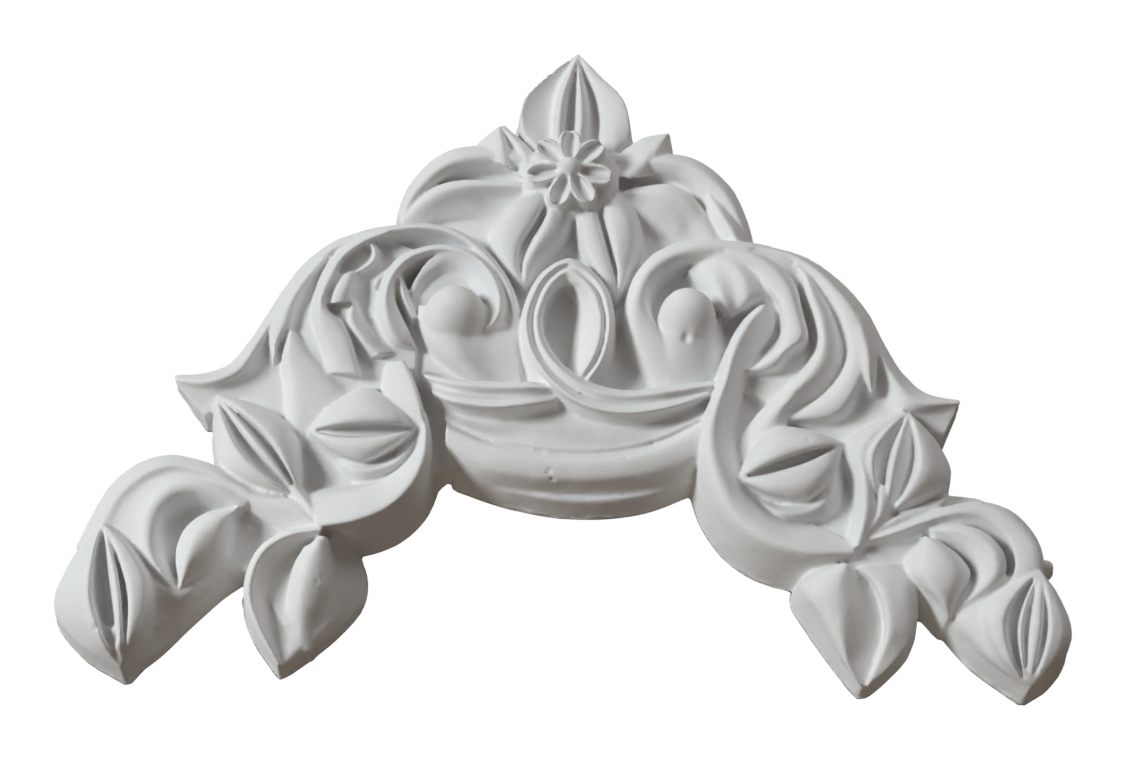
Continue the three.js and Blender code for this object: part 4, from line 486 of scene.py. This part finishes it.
# End leaves
pod([-168, -91], [-153, -146], 26, END_POD, [[-20, -16], [-15, -8], [-11, -1.5], [-9.2, 0.5], [-7.4, 0.5], [-6, -5],
  [-4.2, -10.5], [-1.4, -10.5], [-0.2, -6], [0.8, 0], [2.8, 0.3], [3.8, -6.5], [4.8, -6], [6, 0.5], [10, 0.3],
  [12.5, -2], [14.8, -9]])
loft([[-163, -130, 14], [-159.5, -138, 13], [-153.6, -146, 11]], [[-160, -130.5, 19.5], [-157.7, -138.5, 17],
  [-153.3, -146, 11.5]], [[-156.5, -132, 21.5], [-155.4, -139, 18], [-153, -146, 12]],
  [[-152.5, -130.5, 19.5], [-152.5, -138.5, 17], [-152.7, -146, 11.5]], [[-148.5, -130, 14], [-149.5, -138, 13],
  [-152.4, -146, 11]])
pod([168.5, -100], [159, -145], 26, END_POD, [[-32, -16], [-26, -9], [-19.5, -6], [-16, -1.5], [-13, 0],
  [-10.8, -0.5], [-9, -7], [-6.8, -8.5], [-5.6, -1], [-4.3, -1], [-3, -7.5], [-1.7, -1], [0.2, 0.5], [2.1, -0.5],
  [3.4, -7.5], [4.8, 0], [7.5, 0], [10.5, -2], [12.8, -9]])
dome(169.8, -99.5, 3, 3, 7)

# Curl leaves: outer frond, inner band and seed
loft([[-115, -76, 16], [-124, -70, 16], [-136, -65, 16], [-148, -63, 16], [-159, -67, 15.5], [-168, -77, 15],
  [-173, -90, 14], [-176, -101, 12]], [[-115, -78.5, 19], [-125, -73, 20], [-136, -68.5, 20.5], [-147, -67, 21],
  [-156.5, -71, 20.5], [-164, -80, 19.5], [-168, -91, 18], [-170.5, -101, 14]],
  [[-116, -80.5, 18], [-127, -75, 18.8], [-137, -71.5, 19.3], [-146, -71, 19.3], [-154.5, -76, 19],
  [-160, -84, 18.5], [-162, -93, 17.5], [-160, -103, 15]], [[-117, -82, 18], [-128, -77, 20.5], [-137, -74.3, 22],
  [-146, -76.5, 23], [-151.3, -83, 23], [-153, -91, 22.5], [-151.5, -100, 21.5], [-146.5, -108, 20],
  [-137.5, -116.5, 16.5]], [[-118, -84, 17], [-129, -80, 19], [-137, -78.3, 20.5], [-143.5, -80.5, 21],
  [-147.8, -86.5, 21], [-149, -94, 21], [-147.5, -102, 20], [-143.5, -109, 18.5], [-137.3, -116.5, 16]],
  [[-119, -86, 13], [-130, -83.5, 12.5], [-138, -84, 12], [-142.5, -88, 12], [-144.5, -94, 12], [-143.5, -101, 12],
  [-141, -108, 13], [-137.2, -116.5, 15]])
loft([[-120, -83.5, 18], [-131, -86, 18], [-138.5, -93, 18], [-140, -102, 18], [-137, -116, 15.5]],
  [[-120.5, -84.5, 20], [-129, -88.5, 24.5], [-134.5, -95.5, 26], [-136, -104, 25], [-136.8, -116, 17]],
  [[-121.3, -85.5, 20], [-125, -91, 23.5], [-128, -98, 24], [-130.5, -105, 22], [-136.5, -116, 16]],
  [[-121.8, -87, 17.5], [-122.3, -94, 18], [-123.5, -101.5, 18], [-128.5, -108.5, 17], [-136.3, -116, 15]])
loft([[103, -89, 17], [115, -85.5, 17.5], [128, -79.5, 17], [139, -75, 17], [151, -73.5, 17], [161, -77.5, 17],
  [168.5, -88, 16.5], [170, -98, 15.5], [168, -106, 14]], [[103, -91, 19], [115, -87.5, 21], [128, -82, 21.5],
  [139, -78, 21.5], [150, -77, 21.5], [159, -81, 22], [165.3, -89.5, 21.5], [166.5, -98, 20.5], [164, -107, 18]],
  [[103, -92, 17], [116, -89, 18], [129, -84, 18.5], [139, -81, 19], [148, -80.5, 19], [154.5, -84.5, 19],
  [159, -91.5, 19], [159.5, -99, 18.5], [156, -107, 17.5], [147, -113.5, 17], [136, -118.5, 16]],
  [[104, -93, 14], [117, -91, 15], [130, -86, 17], [139, -83.5, 18.5], [147, -83, 18.5], [153.3, -86.5, 16.5],
  [157.3, -92.5, 14.5], [157.8, -99.5, 14], [154.5, -106.5, 14.5], [145.5, -112.5, 15], [136, -117.5, 15]])
loft([[130, -84.5, 18], [139, -83, 20], [147, -84, 21], [153.3, -88.7, 21.5], [156.3, -96, 21.5], [155, -103, 21],
  [148, -110, 19.5], [136, -117, 16.5]], [[130.5, -86, 19.5], [139, -85.3, 22], [146, -87, 23.5], [151, -91.5, 24],
  [153, -97.5, 24], [151, -103.5, 23], [145.5, -109, 21], [136, -116.7, 17]],
  [[131, -87.5, 18], [138, -88.3, 20], [143, -91.3, 20.5], [146.7, -96, 21], [147.8, -100.5, 21],
  [146.3, -105, 20.5], [142.8, -109.5, 19], [135.8, -116.3, 16.5]], [[131, -89, 17], [136.5, -90.5, 17],
  [141, -93.5, 16], [144, -98, 15.5], [144.7, -102, 15.5], [143, -106.5, 15.5], [140, -110.5, 15.5],
  [135.5, -115.8, 15]])
loft([[128, -87.5, 18], [122, -96, 18], [120.5, -101, 18], [124.5, -107, 18], [129.5, -112.5, 17], [133, -120, 14]],
  [[129.5, -88, 20.5], [127, -96, 25.5], [127, -102, 26.5], [129.5, -108, 25], [132, -113, 22], [133.5, -120, 15]],
  [[131, -88.5, 20.5], [134.5, -94.5, 25], [137, -100, 26], [137, -106, 25], [135.5, -112, 22], [134, -120, 15]],
  [[132.5, -89, 18], [139.5, -95, 18], [143, -100.5, 18.5], [142, -106, 18], [138.5, -112, 17], [134.5, -120, 14]])

# Slope from the left curl down to the notch
loft([[-149, -106, 16], [-144, -111, 15.5], [-137, -114, 15], [-130, -104, 12.5], [-124, -96, 12],
  [-118, -88, 11.5]], [[-148, -112, 18], [-141.5, -117, 17], [-135, -117.5, 16], [-128, -108, 14], [-122, -99, 12],
  [-115, -91, 11.5]], [[-149, -124, 15], [-142, -125, 12.5], [-134, -121.5, 12], [-126, -113, 11], [-119, -105, 10],
  [-111, -97.5, 10]], [[-149.5, -136, 11], [-142, -133, 8], [-133, -126, 7.5], [-124, -116, 7.5], [-117, -108, 7.5],
  [-109, -101, 8]], [[-149, -145, 6], [-141, -139.5, 3.5], [-131.5, -128, 3.5], [-121.5, -117, 3.5],
  [-115.5, -112, 3.5], [-108, -103, 5]])

# Stems that tie the buds together at the knots
loft([[-124, -73, 15], [-110, -77, 17], [-99, -81, 18], [-91, -89, 19]], [[-122, -77, 18], [-109, -81, 20],
  [-99, -84.5, 20.5], [-91, -89.5, 20.5]], [[-118, -82.5, 16], [-107, -86, 17.5], [-98, -88.5, 18],
  [-91, -90.5, 19]], [[-115, -87, 12], [-106, -90, 13.5], [-97, -92, 16], [-91, -91, 18]])
loft([[-104, -76, 17], [-98, -82, 18], [-91, -89, 19]], [[-101, -75, 20], [-96, -80.5, 20.5], [-90.5, -88.5, 20.5]],
  [[-98.5, -74, 15], [-94, -80, 16], [-89.5, -88, 18]])
loft([[138, -72, 15], [124, -77, 16], [112, -84, 17], [103, -92, 18]], [[134, -76, 17], [121, -80.5, 19],
  [110, -87, 19.5], [101, -95, 20]], [[128, -84, 15], [117, -88, 15], [109, -91, 16], [102, -96, 17]])
loft([[110, -66, 18], [109.5, -79, 19], [103.5, -91, 19]], [[114.5, -68, 23], [112, -80, 22], [104.3, -91, 20.5]],
  [[121, -73, 18], [114, -83, 18], [105, -91, 18]])
loft([[104, -92, 14], [118, -88, 14], [128, -86, 13]], [[101, -97, 17], [112, -97, 15], [122, -98, 13]],
  [[100, -100, 16], [110, -101, 16], [120, -102, 14]])

# Mid leaves: rimmed leaf and seed
loft([[-89, -90, 20], [-101, -92, 20], [-110, -98, 19], [-114, -107, 17], [-114, -118, 15], [-109.5, -129, 13],
  [-99.5, -143.5, 10]], [[-89, -91.5, 22], [-101, -94.3, 23], [-108.5, -100, 22], [-111.8, -108, 20.5],
  [-112, -118, 18.5], [-107.5, -129, 16], [-99, -143, 11]], [[-89, -93, 20], [-100, -97, 18], [-105.5, -102, 16],
  [-108.5, -109.5, 14.5], [-108.5, -118, 13], [-105.5, -128, 12], [-98.7, -142.8, 10]],
  [[-88, -94.5, 15], [-97, -101, 12], [-101, -107, 11], [-103, -114, 10.5], [-103, -121, 10], [-102, -129, 9.5],
  [-98.4, -142.5, 9]], [[-85, -94, 16], [-83, -104, 13.5], [-82.5, -112, 12.5], [-84.5, -120, 11.5],
  [-89, -130, 10], [-97.4, -142.5, 8.5]], [[-82, -92, 12], [-75, -102, 6], [-72, -111, 4.5], [-73, -120, 4],
  [-81, -131, 4.5], [-96.4, -143.5, 7]])
loft([[-90, -94, 20], [-96, -101, 17], [-98.5, -110, 15], [-98.8, -120, 12.5], [-97.5, -130, 9.5],
  [-94, -138, 7.5]], [[-88.5, -94, 22.5], [-92.5, -102, 22], [-93.8, -111, 21], [-94, -120, 17.5], [-93, -130, 12],
  [-92, -138, 7.5]], [[-86.5, -95, 21], [-87, -103, 20], [-86.5, -112, 18.5], [-87.5, -120, 15.5],
  [-89, -130, 10.5], [-90, -138, 7.5]], [[-85, -96, 17], [-83, -104, 14], [-82.5, -112, 12], [-84, -121, 10],
  [-87, -130, 8.5], [-89, -138, 7]])
loft([[98, -99, 20], [87, -102.5, 16], [82, -108.5, 14], [87, -121, 12], [95, -135.5, 10], [101.5, -145.5, 9]],
  [[98, -99.5, 21], [90, -105, 20.5], [86.5, -112, 20], [90.5, -122, 17.5], [95.5, -135.5, 12.5],
  [100.8, -145.5, 9.5]], [[98.8, -100, 21.5], [95.5, -106, 22.5], [95, -115.5, 21.5], [96, -126.5, 18.5],
  [97.2, -137, 13.5], [101, -145.5, 10]], [[99.5, -100, 21], [99.8, -106, 20.5], [101, -115.5, 18.5],
  [100.6, -127, 15], [99.3, -136.5, 12], [101.4, -145.5, 9.5]], [[100.3, -100, 19.5], [103.5, -106.5, 17],
  [106.5, -116, 14], [106.3, -126, 11.5], [104, -135, 10.5], [102, -145.5, 9]],
  [[101, -100, 18], [106.5, -107, 14], [110.5, -116, 11.5], [111, -126, 10], [107.8, -135, 9.5],
  [102.6, -145.5, 8.5]])
loft([[102, -101, 18], [107, -107.5, 13], [110, -116, 10.5], [110.3, -125, 9], [107.3, -134, 9],
  [102.8, -144.5, 8.5]], [[104, -100, 21], [109.5, -107, 21], [111.8, -116, 19.5], [111.6, -126, 16.5],
  [108, -135.5, 12], [103.2, -145, 9.5]], [[113, -99, 20.5], [117.5, -107, 20], [118.5, -117, 18.5],
  [115.5, -128, 15], [109.5, -137, 11.5], [103.5, -145.5, 9.5]], [[119, -99, 17], [122.8, -108, 17],
  [123, -118, 15.5], [118.5, -129.5, 13], [110, -139.5, 10.5], [103.8, -145.5, 8.5]])

# Left shoulder: outer edge and wing, hanging lobes, main leaf with its eyelet, lobe and thin ridge
loft([[-70, 43, 18], [-84, 39.5, 17], [-97, 33, 16], [-106, 24, 15], [-113, 12, 14], [-119, -2, 13],
  [-124, -13, 13], [-131, -24, 14], [-140, -28, 14], [-150.5, -29.3, 13]], [[-70, 41, 21], [-84, 37, 20.5],
  [-95, 31, 19.5], [-103.5, 22, 18.5], [-110.5, 10, 18], [-116.5, -3, 18], [-121, -14, 18.5], [-127.5, -26.5, 19],
  [-138, -31.5, 18.5], [-149.8, -31.3, 15]], [[-70, 39, 18], [-82, 35, 17], [-93, 28, 16], [-101, 19, 15.5],
  [-108, 7, 15], [-114, -5, 14.5], [-118, -16, 14], [-123.5, -29, 14], [-134, -35, 14.5], [-148.5, -34.5, 13]],
  [[-70, 36, 14], [-91, 25, 13], [-105, 3, 13], [-111, -14, 12], [-117, -33, 12], [-137, -46, 11]])
loft([[-102, 26, 17], [-110, 14, 17], [-116, 2, 17], [-118, -6, 16], [-117, -14, 15], [-113.5, -25.5, 12]],
  [[-99, 26, 20], [-106.5, 14, 21.5], [-111, 3, 21.5], [-113, -6, 21], [-114, -14, 18.5], [-113.5, -25.5, 13]],
  [[-96, 26, 17], [-103.5, 14, 18.5], [-108, 3, 19], [-109.5, -7, 19], [-113, -13, 17], [-113.5, -25.5, 12]])
loft([[-109.5, -8, 17], [-111, -20, 15.5], [-108.5, -33, 15], [-107, -45, 14.5], [-104, -60, 11.5]],
  [[-109, -8, 19], [-108.7, -19, 20], [-105, -31, 20], [-102.5, -44, 18.5], [-100, -60, 12.5]],
  [[-108.3, -8, 18.5], [-103, -18, 18.7], [-96, -28.5, 19], [-92, -42, 18], [-94, -60, 12]],
  [[-107.5, -9, 16.5], [-100, -18, 16], [-90, -27, 16], [-83, -38, 15.5], [-87, -58, 11.5]])
loft([[-74, 41.5, 19], [-86, 36, 19], [-96, 26, 19], [-101, 13, 19], [-101.8, 0, 18.5], [-99, -10, 17.5],
  [-95, -19, 18], [-94, -27, 17]], [[-74, 39.5, 23.5], [-85, 34.3, 25], [-93.8, 25, 25.5], [-98.5, 12, 26],
  [-99.3, 1, 26], [-96.5, -9, 24.5], [-91.5, -18, 23.5], [-88, -26.5, 21]], [[-75, 38, 22.5], [-84, 33.3, 24],
  [-91.5, 25.5, 24.5], [-94.8, 15, 25], [-97.3, 4, 25], [-90.5, -5, 24.5], [-86.5, -13, 24], [-81.8, -26.7, 22]],
  [[-76, 36.5, 18], [-83, 32.3, 18], [-90.3, 24.5, 17], [-93.3, 15, 17], [-96, 3.5, 18], [-88.8, -4, 18],
  [-85, -12, 19], [-81, -27, 18]])
loft([[-93, 16, 17], [-90, 27, 18], [-84, 33, 18]], [[-88, 16, 18.5], [-84.5, 25, 19.5], [-81, 30, 19.5]],
  [[-83, 15, 17], [-79, 22, 17], [-77, 27, 17]])
loft([[-97, 6, 17], [-92, -2, 18.5], [-88, -8, 17]], [[-92, 9, 18], [-88.5, 2, 20], [-85, -4, 18]],
  [[-86, 9, 17], [-84, 3, 17], [-81, -3, 16]])
loft([[-82, 36, 20], [-78, 31.5, 19], [-77.8, 25, 18.5], [-82, 19, 18], [-91, 14.5, 18]],
  [[-82.5, 34, 23.5], [-79.5, 30, 23.5], [-79.5, 25.5, 23], [-83.5, 21, 22.5], [-92, 16, 22]],
  [[-83, 32, 20], [-81.3, 29, 19], [-81.5, 25.5, 19], [-85, 22, 18.5], [-92.5, 17.5, 18]])
loft([[-94.5, 17, 20], [-95.8, 10, 21], [-96.8, 4.3, 20]], [[-92.5, 17, 23], [-93, 10.5, 25], [-94, 4.5, 24.5]],
  [[-87.5, 20, 23], [-88.5, 12, 24.5], [-89.5, 5.3, 24]], [[-83, 20, 18], [-84.5, 12, 18], [-86, 5.8, 18]])
loft([[-86.8, 5.5, 19], [-89, -3, 18], [-84.5, -11, 17], [-78, -20, 16]], [[-86.3, 5.5, 21], [-86.3, -3, 23],
  [-81.5, -10.5, 22], [-74.5, -18.5, 19]], [[-85.3, 5, 20], [-83.3, -3, 21], [-78.5, -10, 20], [-71.5, -17.5, 18]],
  [[-84.5, 4.5, 17], [-80.5, -3, 16.5], [-75, -10, 16.5], [-68, -17, 16]])
loft([[-70.5, 18, 20], [-67.8, 8, 20], [-63, -2, 17]], [[-69.3, 18.5, 23], [-66, 8.5, 22.5], [-61.5, -1.5, 18.5]],
  [[-67.5, 18, 18], [-64, 8, 17], [-60, -1, 16]])

# Right shoulder: cap, outer slope and wing, band, its pointed tip, inner leaves
loft([[60, 39, 18], [74, 37.5, 18], [86, 32.5, 17], [96, 24, 15]], [[60, 36, 22.5], [74, 34.5, 22], [84, 29.5, 21],
  [92, 21.5, 17]], [[60, 32, 22], [72, 30, 22], [80, 25, 20], [87, 17, 16]])
loft([[70, 38, 18], [90, 32.5, 17], [104, 21, 15], [113.5, 7, 14], [119.5, -8, 13], [125, -19.5, 13],
  [133, -28.3, 14], [146, -31.3, 14]], [[70, 36, 20], [89, 30, 20], [101.5, 18.5, 19], [110.5, 4.5, 18.5],
  [116, -9, 18.5], [121.3, -22, 19], [128.5, -32, 19], [146, -32.5, 16]], [[70, 34, 18], [87, 27, 17],
  [98.5, 15, 16.5], [107, 2, 15.5], [113.5, -10, 14.5], [117.5, -23.5, 14], [123, -37, 14], [144.5, -35, 14]],
  [[70, 32, 15], [92, 12, 14], [105, -6, 13], [112, -24, 12], [118, -40, 11], [139, -46, 10]])
loft([[70, 36, 19], [84, 30.5, 18.5], [96, 17, 18], [103, 1, 18], [104.7, -12, 18], [100.5, -22.5, 17.5],
  [92, -32.5, 17], [79.5, -39.8, 16]], [[70, 37, 21], [85.5, 31, 21.5], [98, 18, 22], [105.5, 1.5, 22],
  [107, -13, 22], [102.5, -25, 21], [93.5, -35, 20], [79.5, -40.6, 17]], [[70, 37.5, 21], [89, 31, 22],
  [102.5, 17, 22.5], [111, 1, 22.5], [112, -12, 22], [106.5, -27, 21], [98, -38, 19.5], [79.5, -42, 17]],
  [[70, 38, 18], [91, 31, 18], [105.5, 16.5, 17.5], [114.3, 0, 17], [115.3, -11, 16.5], [109, -27, 16],
  [101, -40, 15], [79.5, -43.5, 14]])
loft([[104, 6, 20], [108.5, -10, 22], [109.8, -20, 21.5], [112.5, -29, 17]],
  [[109, 6, 22.5], [112.5, -10, 24], [112.8, -20, 23.5], [113, -29, 18]], [[113, 5, 19], [115.8, -10, 18.5],
  [115.5, -20, 17.5], [113.6, -29, 15.5]])
loft([[78, 32, 17], [87, 25, 17.5], [89.5, 14, 17.5], [92, 2, 16], [92.8, -7, 16], [90.5, -13.5, 15.5],
  [86, -21, 16], [77, -31.5, 16], [68, -44, 15]], [[79.5, 32.3, 18.5], [88.5, 25, 21.5], [91.5, 14, 23.5],
  [94.3, 2, 24], [95, -7.5, 24], [92.3, -15.5, 23], [87, -23, 22.5], [80, -32, 22], [74, -44, 19]],
  [[80.5, 32.6, 18.5], [90.5, 25, 21.5], [94.5, 14, 23], [97.8, 2, 23.5], [98.5, -8.5, 23], [95.5, -18, 22.5],
  [89.5, -25.5, 22], [83, -33, 20.5], [79.5, -39.3, 18]], [[82, 33, 17], [92, 25, 17], [98.5, 14, 16.5],
  [102.3, 1, 16], [103.5, -11, 16], [100, -21.5, 15.5], [92.3, -30.8, 15.5], [85.5, -36, 15.5], [79.5, -39.8, 15]])
loft([[60, 30, 20], [67, 25.3, 19.5], [73, 18, 19], [78.3, 10, 18.5], [80.3, 0, 18], [78, -8.3, 17.5],
  [72, -15.3, 17], [61, -22.3, 15]], [[60, 31.5, 24], [68.5, 27, 24.5], [75, 19, 25], [80.5, 10, 25.5],
  [82.3, 0, 25], [80, -9, 23.5], [73.5, -16.3, 22], [61, -22.7, 17]], [[60, 35, 25], [73, 30.5, 25.5], [82, 20, 26],
  [86, 8, 26.2], [87.3, -5, 25.5], [81.5, -11.5, 24], [75.5, -18.5, 21.5], [61, -23, 17]],
  [[60, 37, 20], [76, 32, 20.5], [85.3, 21, 20.5], [88.2, 8, 20.5], [89.6, -6.5, 20], [83.5, -12.5, 18],
  [77, -20.5, 17], [61, -23.7, 14]])
loft([[58, -60, 14], [64, -47, 16], [70, -38.5, 17], [76, -32, 17], [87, -21.5, 17]],
  [[70, -60, 17], [72, -47, 20], [76.5, -38.5, 22], [82, -31.5, 22.5], [91, -18.5, 22.5]],
  [[82, -60, 15], [80.5, -47, 17], [80.5, -39.3, 18], [85, -33, 18], [94, -20, 18]])
# Ground under the left ring's end and beside the left eye
loft([[-82, -18, 15], [-72, -16, 15.5], [-60, -15, 14.5]], [[-82, -23, 15], [-72, -22, 15.5], [-60, -22, 14.5]],
  [[-82, -28, 14.5], [-72, -28, 15], [-60, -28, 13.5]])
loft([[-100, -58, 13], [-92, -66, 13], [-84, -74, 12.5]], [[-94, -56, 15], [-86, -63, 15], [-78, -70, 14]],
  [[-88, -54, 15], [-80, -60, 15], [-72, -67, 13]])

# One casting: melt the forms together, cut the back flat, soften, and thin the mesh
mesh = bpy.data.meshes.new("applique_cast")
mesh.from_pydata([tuple(p * MM) for p in np.vstack(points_all)], [], faces_all)
cast = put("applique_cast", mesh)
bpy.context.view_layer.objects.active = cast
cast.select_set(True)


def bake(kind, **settings):
    modifier = cast.modifiers.new(kind, kind)
    for key, value in settings.items():
        setattr(modifier, key, value)
    bpy.ops.object.modifier_apply(modifier=modifier.name)


def read(items, name, wide=3, kind=float):
    """One row for each of the mesh's vertices, edges or faces."""
    values = np.zeros(len(items) * wide, kind)
    items.foreach_get(name, values)
    return values.reshape(-1, wide)


def place_all(places):
    cast.data.vertices.foreach_set("co", places.ravel())


bake("TRIANGULATE")
bake("REMESH", mode="VOXEL", voxel_size=VOXEL * MM, adaptivity=0.0)
co = read(cast.data.vertices, "co")
co[:, 2] = np.maximum(co[:, 2], 0)
place_all(co)
bake("SMOOTH", factor=0.5, iterations=1)

# Fill the crevices as thick plaster does, and leave the ridges as they are
joined = read(cast.data.edges, "vertices", 2, int)
ends, others = np.concatenate([joined, joined[:, ::-1]]).T
count = np.maximum(np.bincount(ends, minlength=len(cast.data.vertices)), 1)
for turn in range(FILL_TURNS):
    co = read(cast.data.vertices, "co")
    push = np.stack([np.bincount(ends, co[others, k], len(co)) / count for k in range(3)], axis=1) - co
    out = (push * read(cast.data.vertex_normals, "vector")).sum(axis=1)
    co += push * (FILL_SHARE * (out > 0))[:, None]
    place_all(co)
    cast.data.update()

# Casting and handling marks: where each is seen, its radius, and how far it stands out (less than 0: in)
MARKS = [(43, -7.5, 24, 1.5, -1.3), (45, -8.6, 24, 1.1, 0.5), (-8, -66, 22, 0.9, -0.7), (-7, -69, 21, 0.8, -0.6),
  (-154, -139, 16, 1.6, 0.9), (-158, -136, 17, 1.3, -0.8), (-156.5, -133, 18, 1.1, 0.7),
  (-151, -141, 15, 1.2, -0.8), (-162, -134, 18, 0.9, -0.6), (-95.5, -97, 21, 1.2, 0.6), (-98, -98.5, 20, 1.0, -0.6),
  (-90, -96, 22, 1.1, 0.6), (-87, -109, 21, 0.9, -0.4), (-89, -112, 20, 0.8, -0.4), (103.5, -103, 21, 1.1, 0.6),
  (106.5, -105.5, 20, 0.9, -0.5), (131, -87, 22, 1.1, -0.9), (88, -50, 29, 0.8, -0.5), (-61, -47, 29, 0.8, -0.5),
  (-25, 2, 22, 0.9, -0.5), (-80, 3, 23, 0.9, 0.5), (20, -60, 22, 0.7, -0.4), (30, -52, 22, 0.7, -0.4),
  (96, -143, 12, 1.4, -0.8)]
normals = read(cast.data.vertex_normals, "vector")
waves = np.zeros(len(co))
for i, p in enumerate(co):
    if p[2] < UNWAVED:
        continue
    v = Vector(p)
    waves[i] = sum(size * noise.noise(v * often) for size, often in WAVES)
    if p[2] < FLASH_TOP:  # ragged flash along the foot
        share = 1 - abs(p[2] - FLASH_TOP / 2) / (FLASH_TOP / 2)
        waves[i] += FLASH_SIZE * max(0, noise.noise(v * FLASH_OFTEN) + FLASH_MORE) * share
for x, y, z, radius, stand in MARKS:
    away = np.linalg.norm(co[:, :2] - traced((x, y, z))[:2] * MM, axis=1) / (radius * MM)
    waves += stand * MM * np.exp(-away ** 2) * (normals[:, 2] > MARKED_FACING)
co += normals * waves[:, None]
place_all(co)
bake("DECIMATE", ratio=min(1.0, TRIANGLES / (2 * len(cast.data.polygons))))  # the polygons are quads until here
co = read(cast.data.vertices, "co")
co[co[:, 2] < BACK, 2] = 0
place_all(np.stack([co[:, 0], -co[:, 2], co[:, 1]], axis=1))
cast.data.update()
cast.data.polygons.foreach_set("use_smooth", read(cast.data.polygons, "normal")[:, 1] < BACK_FACING)

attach(cast, "root")
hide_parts("applique")


def emptied(owner):
    """The node tree of a material or world, with nothing in it."""
    owner.use_nodes = True
    owner.node_tree.nodes.clear()
    return owner.node_tree


def node(tree, kind, inputs, **settings):
    """A node whose inputs are given values or joined to other nodes' outputs."""
    made = tree.nodes.new("ShaderNode" + kind)
    for key, value in settings.items():
        setattr(made, key, value)
    for key, given in inputs.items():
        if isinstance(given, bpy.types.NodeSocket):
            tree.links.new(given, made.inputs[key])
        else:
            made.inputs[key].default_value = given
    return made


# Chalky white plaster
plaster = bpy.data.materials.new("plaster_look")
tree = emptied(plaster)
coord = node(tree, "TexCoord", {}).outputs["Object"]


def clouds(scale, detail):
    return node(tree, "TexNoise", {"Vector": coord, "Scale": scale, "Detail": detail}).outputs["Fac"]


def tones(scale, detail, stops):
    """Clouds in two tones, each given with its place on the ramp."""
    made = node(tree, "ValToRGB", {"Fac": clouds(scale, detail)})
    for element, (place, color) in zip(made.color_ramp.elements, stops):
        element.position = place
        element.color = (*color, 1)
    return made.outputs["Color"]


broad = tones(16, 3, [(0.35, (0.76, 0.765, 0.77)), (0.7, (0.83, 0.83, 0.825))])
grain = tones(900, 4, [(0.3, (0.94, 0.94, 0.94)), (0.75, (1, 1, 1))])
rough = tones(120, 4, [(0.3, (0.78, 0.78, 0.78)), (0.7, (0.92, 0.92, 0.92))])
color = node(tree, "Mix", {0: 1.0, 6: broad, 7: grain}, data_type="RGBA", blend_type="MULTIPLY")
fine = node(tree, "Bump", {"Strength": 0.12, "Distance": 0.0006, "Height": clouds(700, 5)})
wavy = node(tree, "Bump", {"Strength": 0.25, "Distance": 0.0012, "Height": clouds(60, 3),
                           "Normal": fine.outputs["Normal"]})
shader = node(tree, "BsdfPrincipled", {"Base Color": color.outputs[2], "Roughness": rough,
                                       "Specular IOR Level": 0.22, "Normal": wavy.outputs["Normal"]})
node(tree, "OutputMaterial", {"Surface": shader.outputs["BSDF"]})
cast.data.materials.clear()
cast.data.materials.append(plaster)


def two_faced(owner, output, lit, seen):
    """Gives a material or world one shader for the light and another for what the camera sees directly."""
    tree = emptied(owner)
    ray = node(tree, "LightPath", {}).outputs["Is Camera Ray"]
    mixed = node(tree, "MixShader", {0: ray, 1: node(tree, *lit).outputs[0], 2: node(tree, *seen).outputs[0]})
    node(tree, output, {"Surface": mixed.outputs[0]})


# Stage: a floor well below and a world that both look pale but light the piece only dimly, a key light from
# the left, and a weaker, larger one from above
floor_mesh = bpy.data.meshes.new("floor")
z = float(low[2]) - FLOOR_DROP
corners = [(x * FLOOR_HALF, y * FLOOR_HALF, z) for x, y in ((-1, -1), (1, -1), (1, 1), (-1, 1))]
floor_mesh.from_pydata(corners, [], [(0, 1, 2, 3)])
floor = put("floor", floor_mesh)
pale = bpy.data.materials.new("floor_pale")
two_faced(pale, "OutputMaterial", ("BsdfDiffuse", {"Color": (0.55, 0.46, 0.38, 1)}),
          ("Emission", {"Color": (0.9, 0.9, 0.9, 1)}))
floor.data.materials.append(pale)

world = bpy.context.scene.world or bpy.data.worlds.new("studio")
bpy.context.scene.world = world
two_faced(world, "OutputWorld", ("Background", {"Color": (1.0, 0.86, 0.74, 1), "Strength": 0.115}),
          ("Background", {"Color": (1, 1, 1, 1), "Strength": 1.0}))

for name, place, size, power, color in (("key", (-2.3, -1.85, 0.0), 0.8, 69, (0.93, 0.98, 1.0)),
                                        ("top", (1.2, -1.6, 2.2), 1.6, 28, (0.98, 0.985, 0.99))):
    light = bpy.data.lights.new(name, "AREA")
    light.shape = "RECTANGLE"
    light.size = light.size_y = size
    light.energy = power
    light.color = color
    item = put(name, light)
    item.location = place
    item.rotation_euler = (Vector((0, 0, 0)) - Vector(place)).to_track_quat("-Z", "Y").to_euler()

# Camera at the photograph's angle
camera_data = bpy.data.cameras.new("camera")
camera_data.lens = LENS
camera_data.sensor_width = 36
camera_data.clip_start = 0.01
camera = put("camera", camera_data)
toward = Vector((0.0, -math.cos(BELOW), -math.sin(BELOW)))
camera.location = LOOK_AT + toward * DISTANCE
back = toward.normalized()
right = Vector((1, 0, 0))
up = back.cross(right)
x_axis = right * math.cos(ROLL) + up * math.sin(ROLL)
y_axis = up * math.cos(ROLL) - right * math.sin(ROLL)
camera.rotation_euler = Matrix((x_axis, y_axis, back)).transposed().to_euler()
bpy.context.scene.camera = camera
bpy.context.scene.view_settings.view_transform = "Standard"
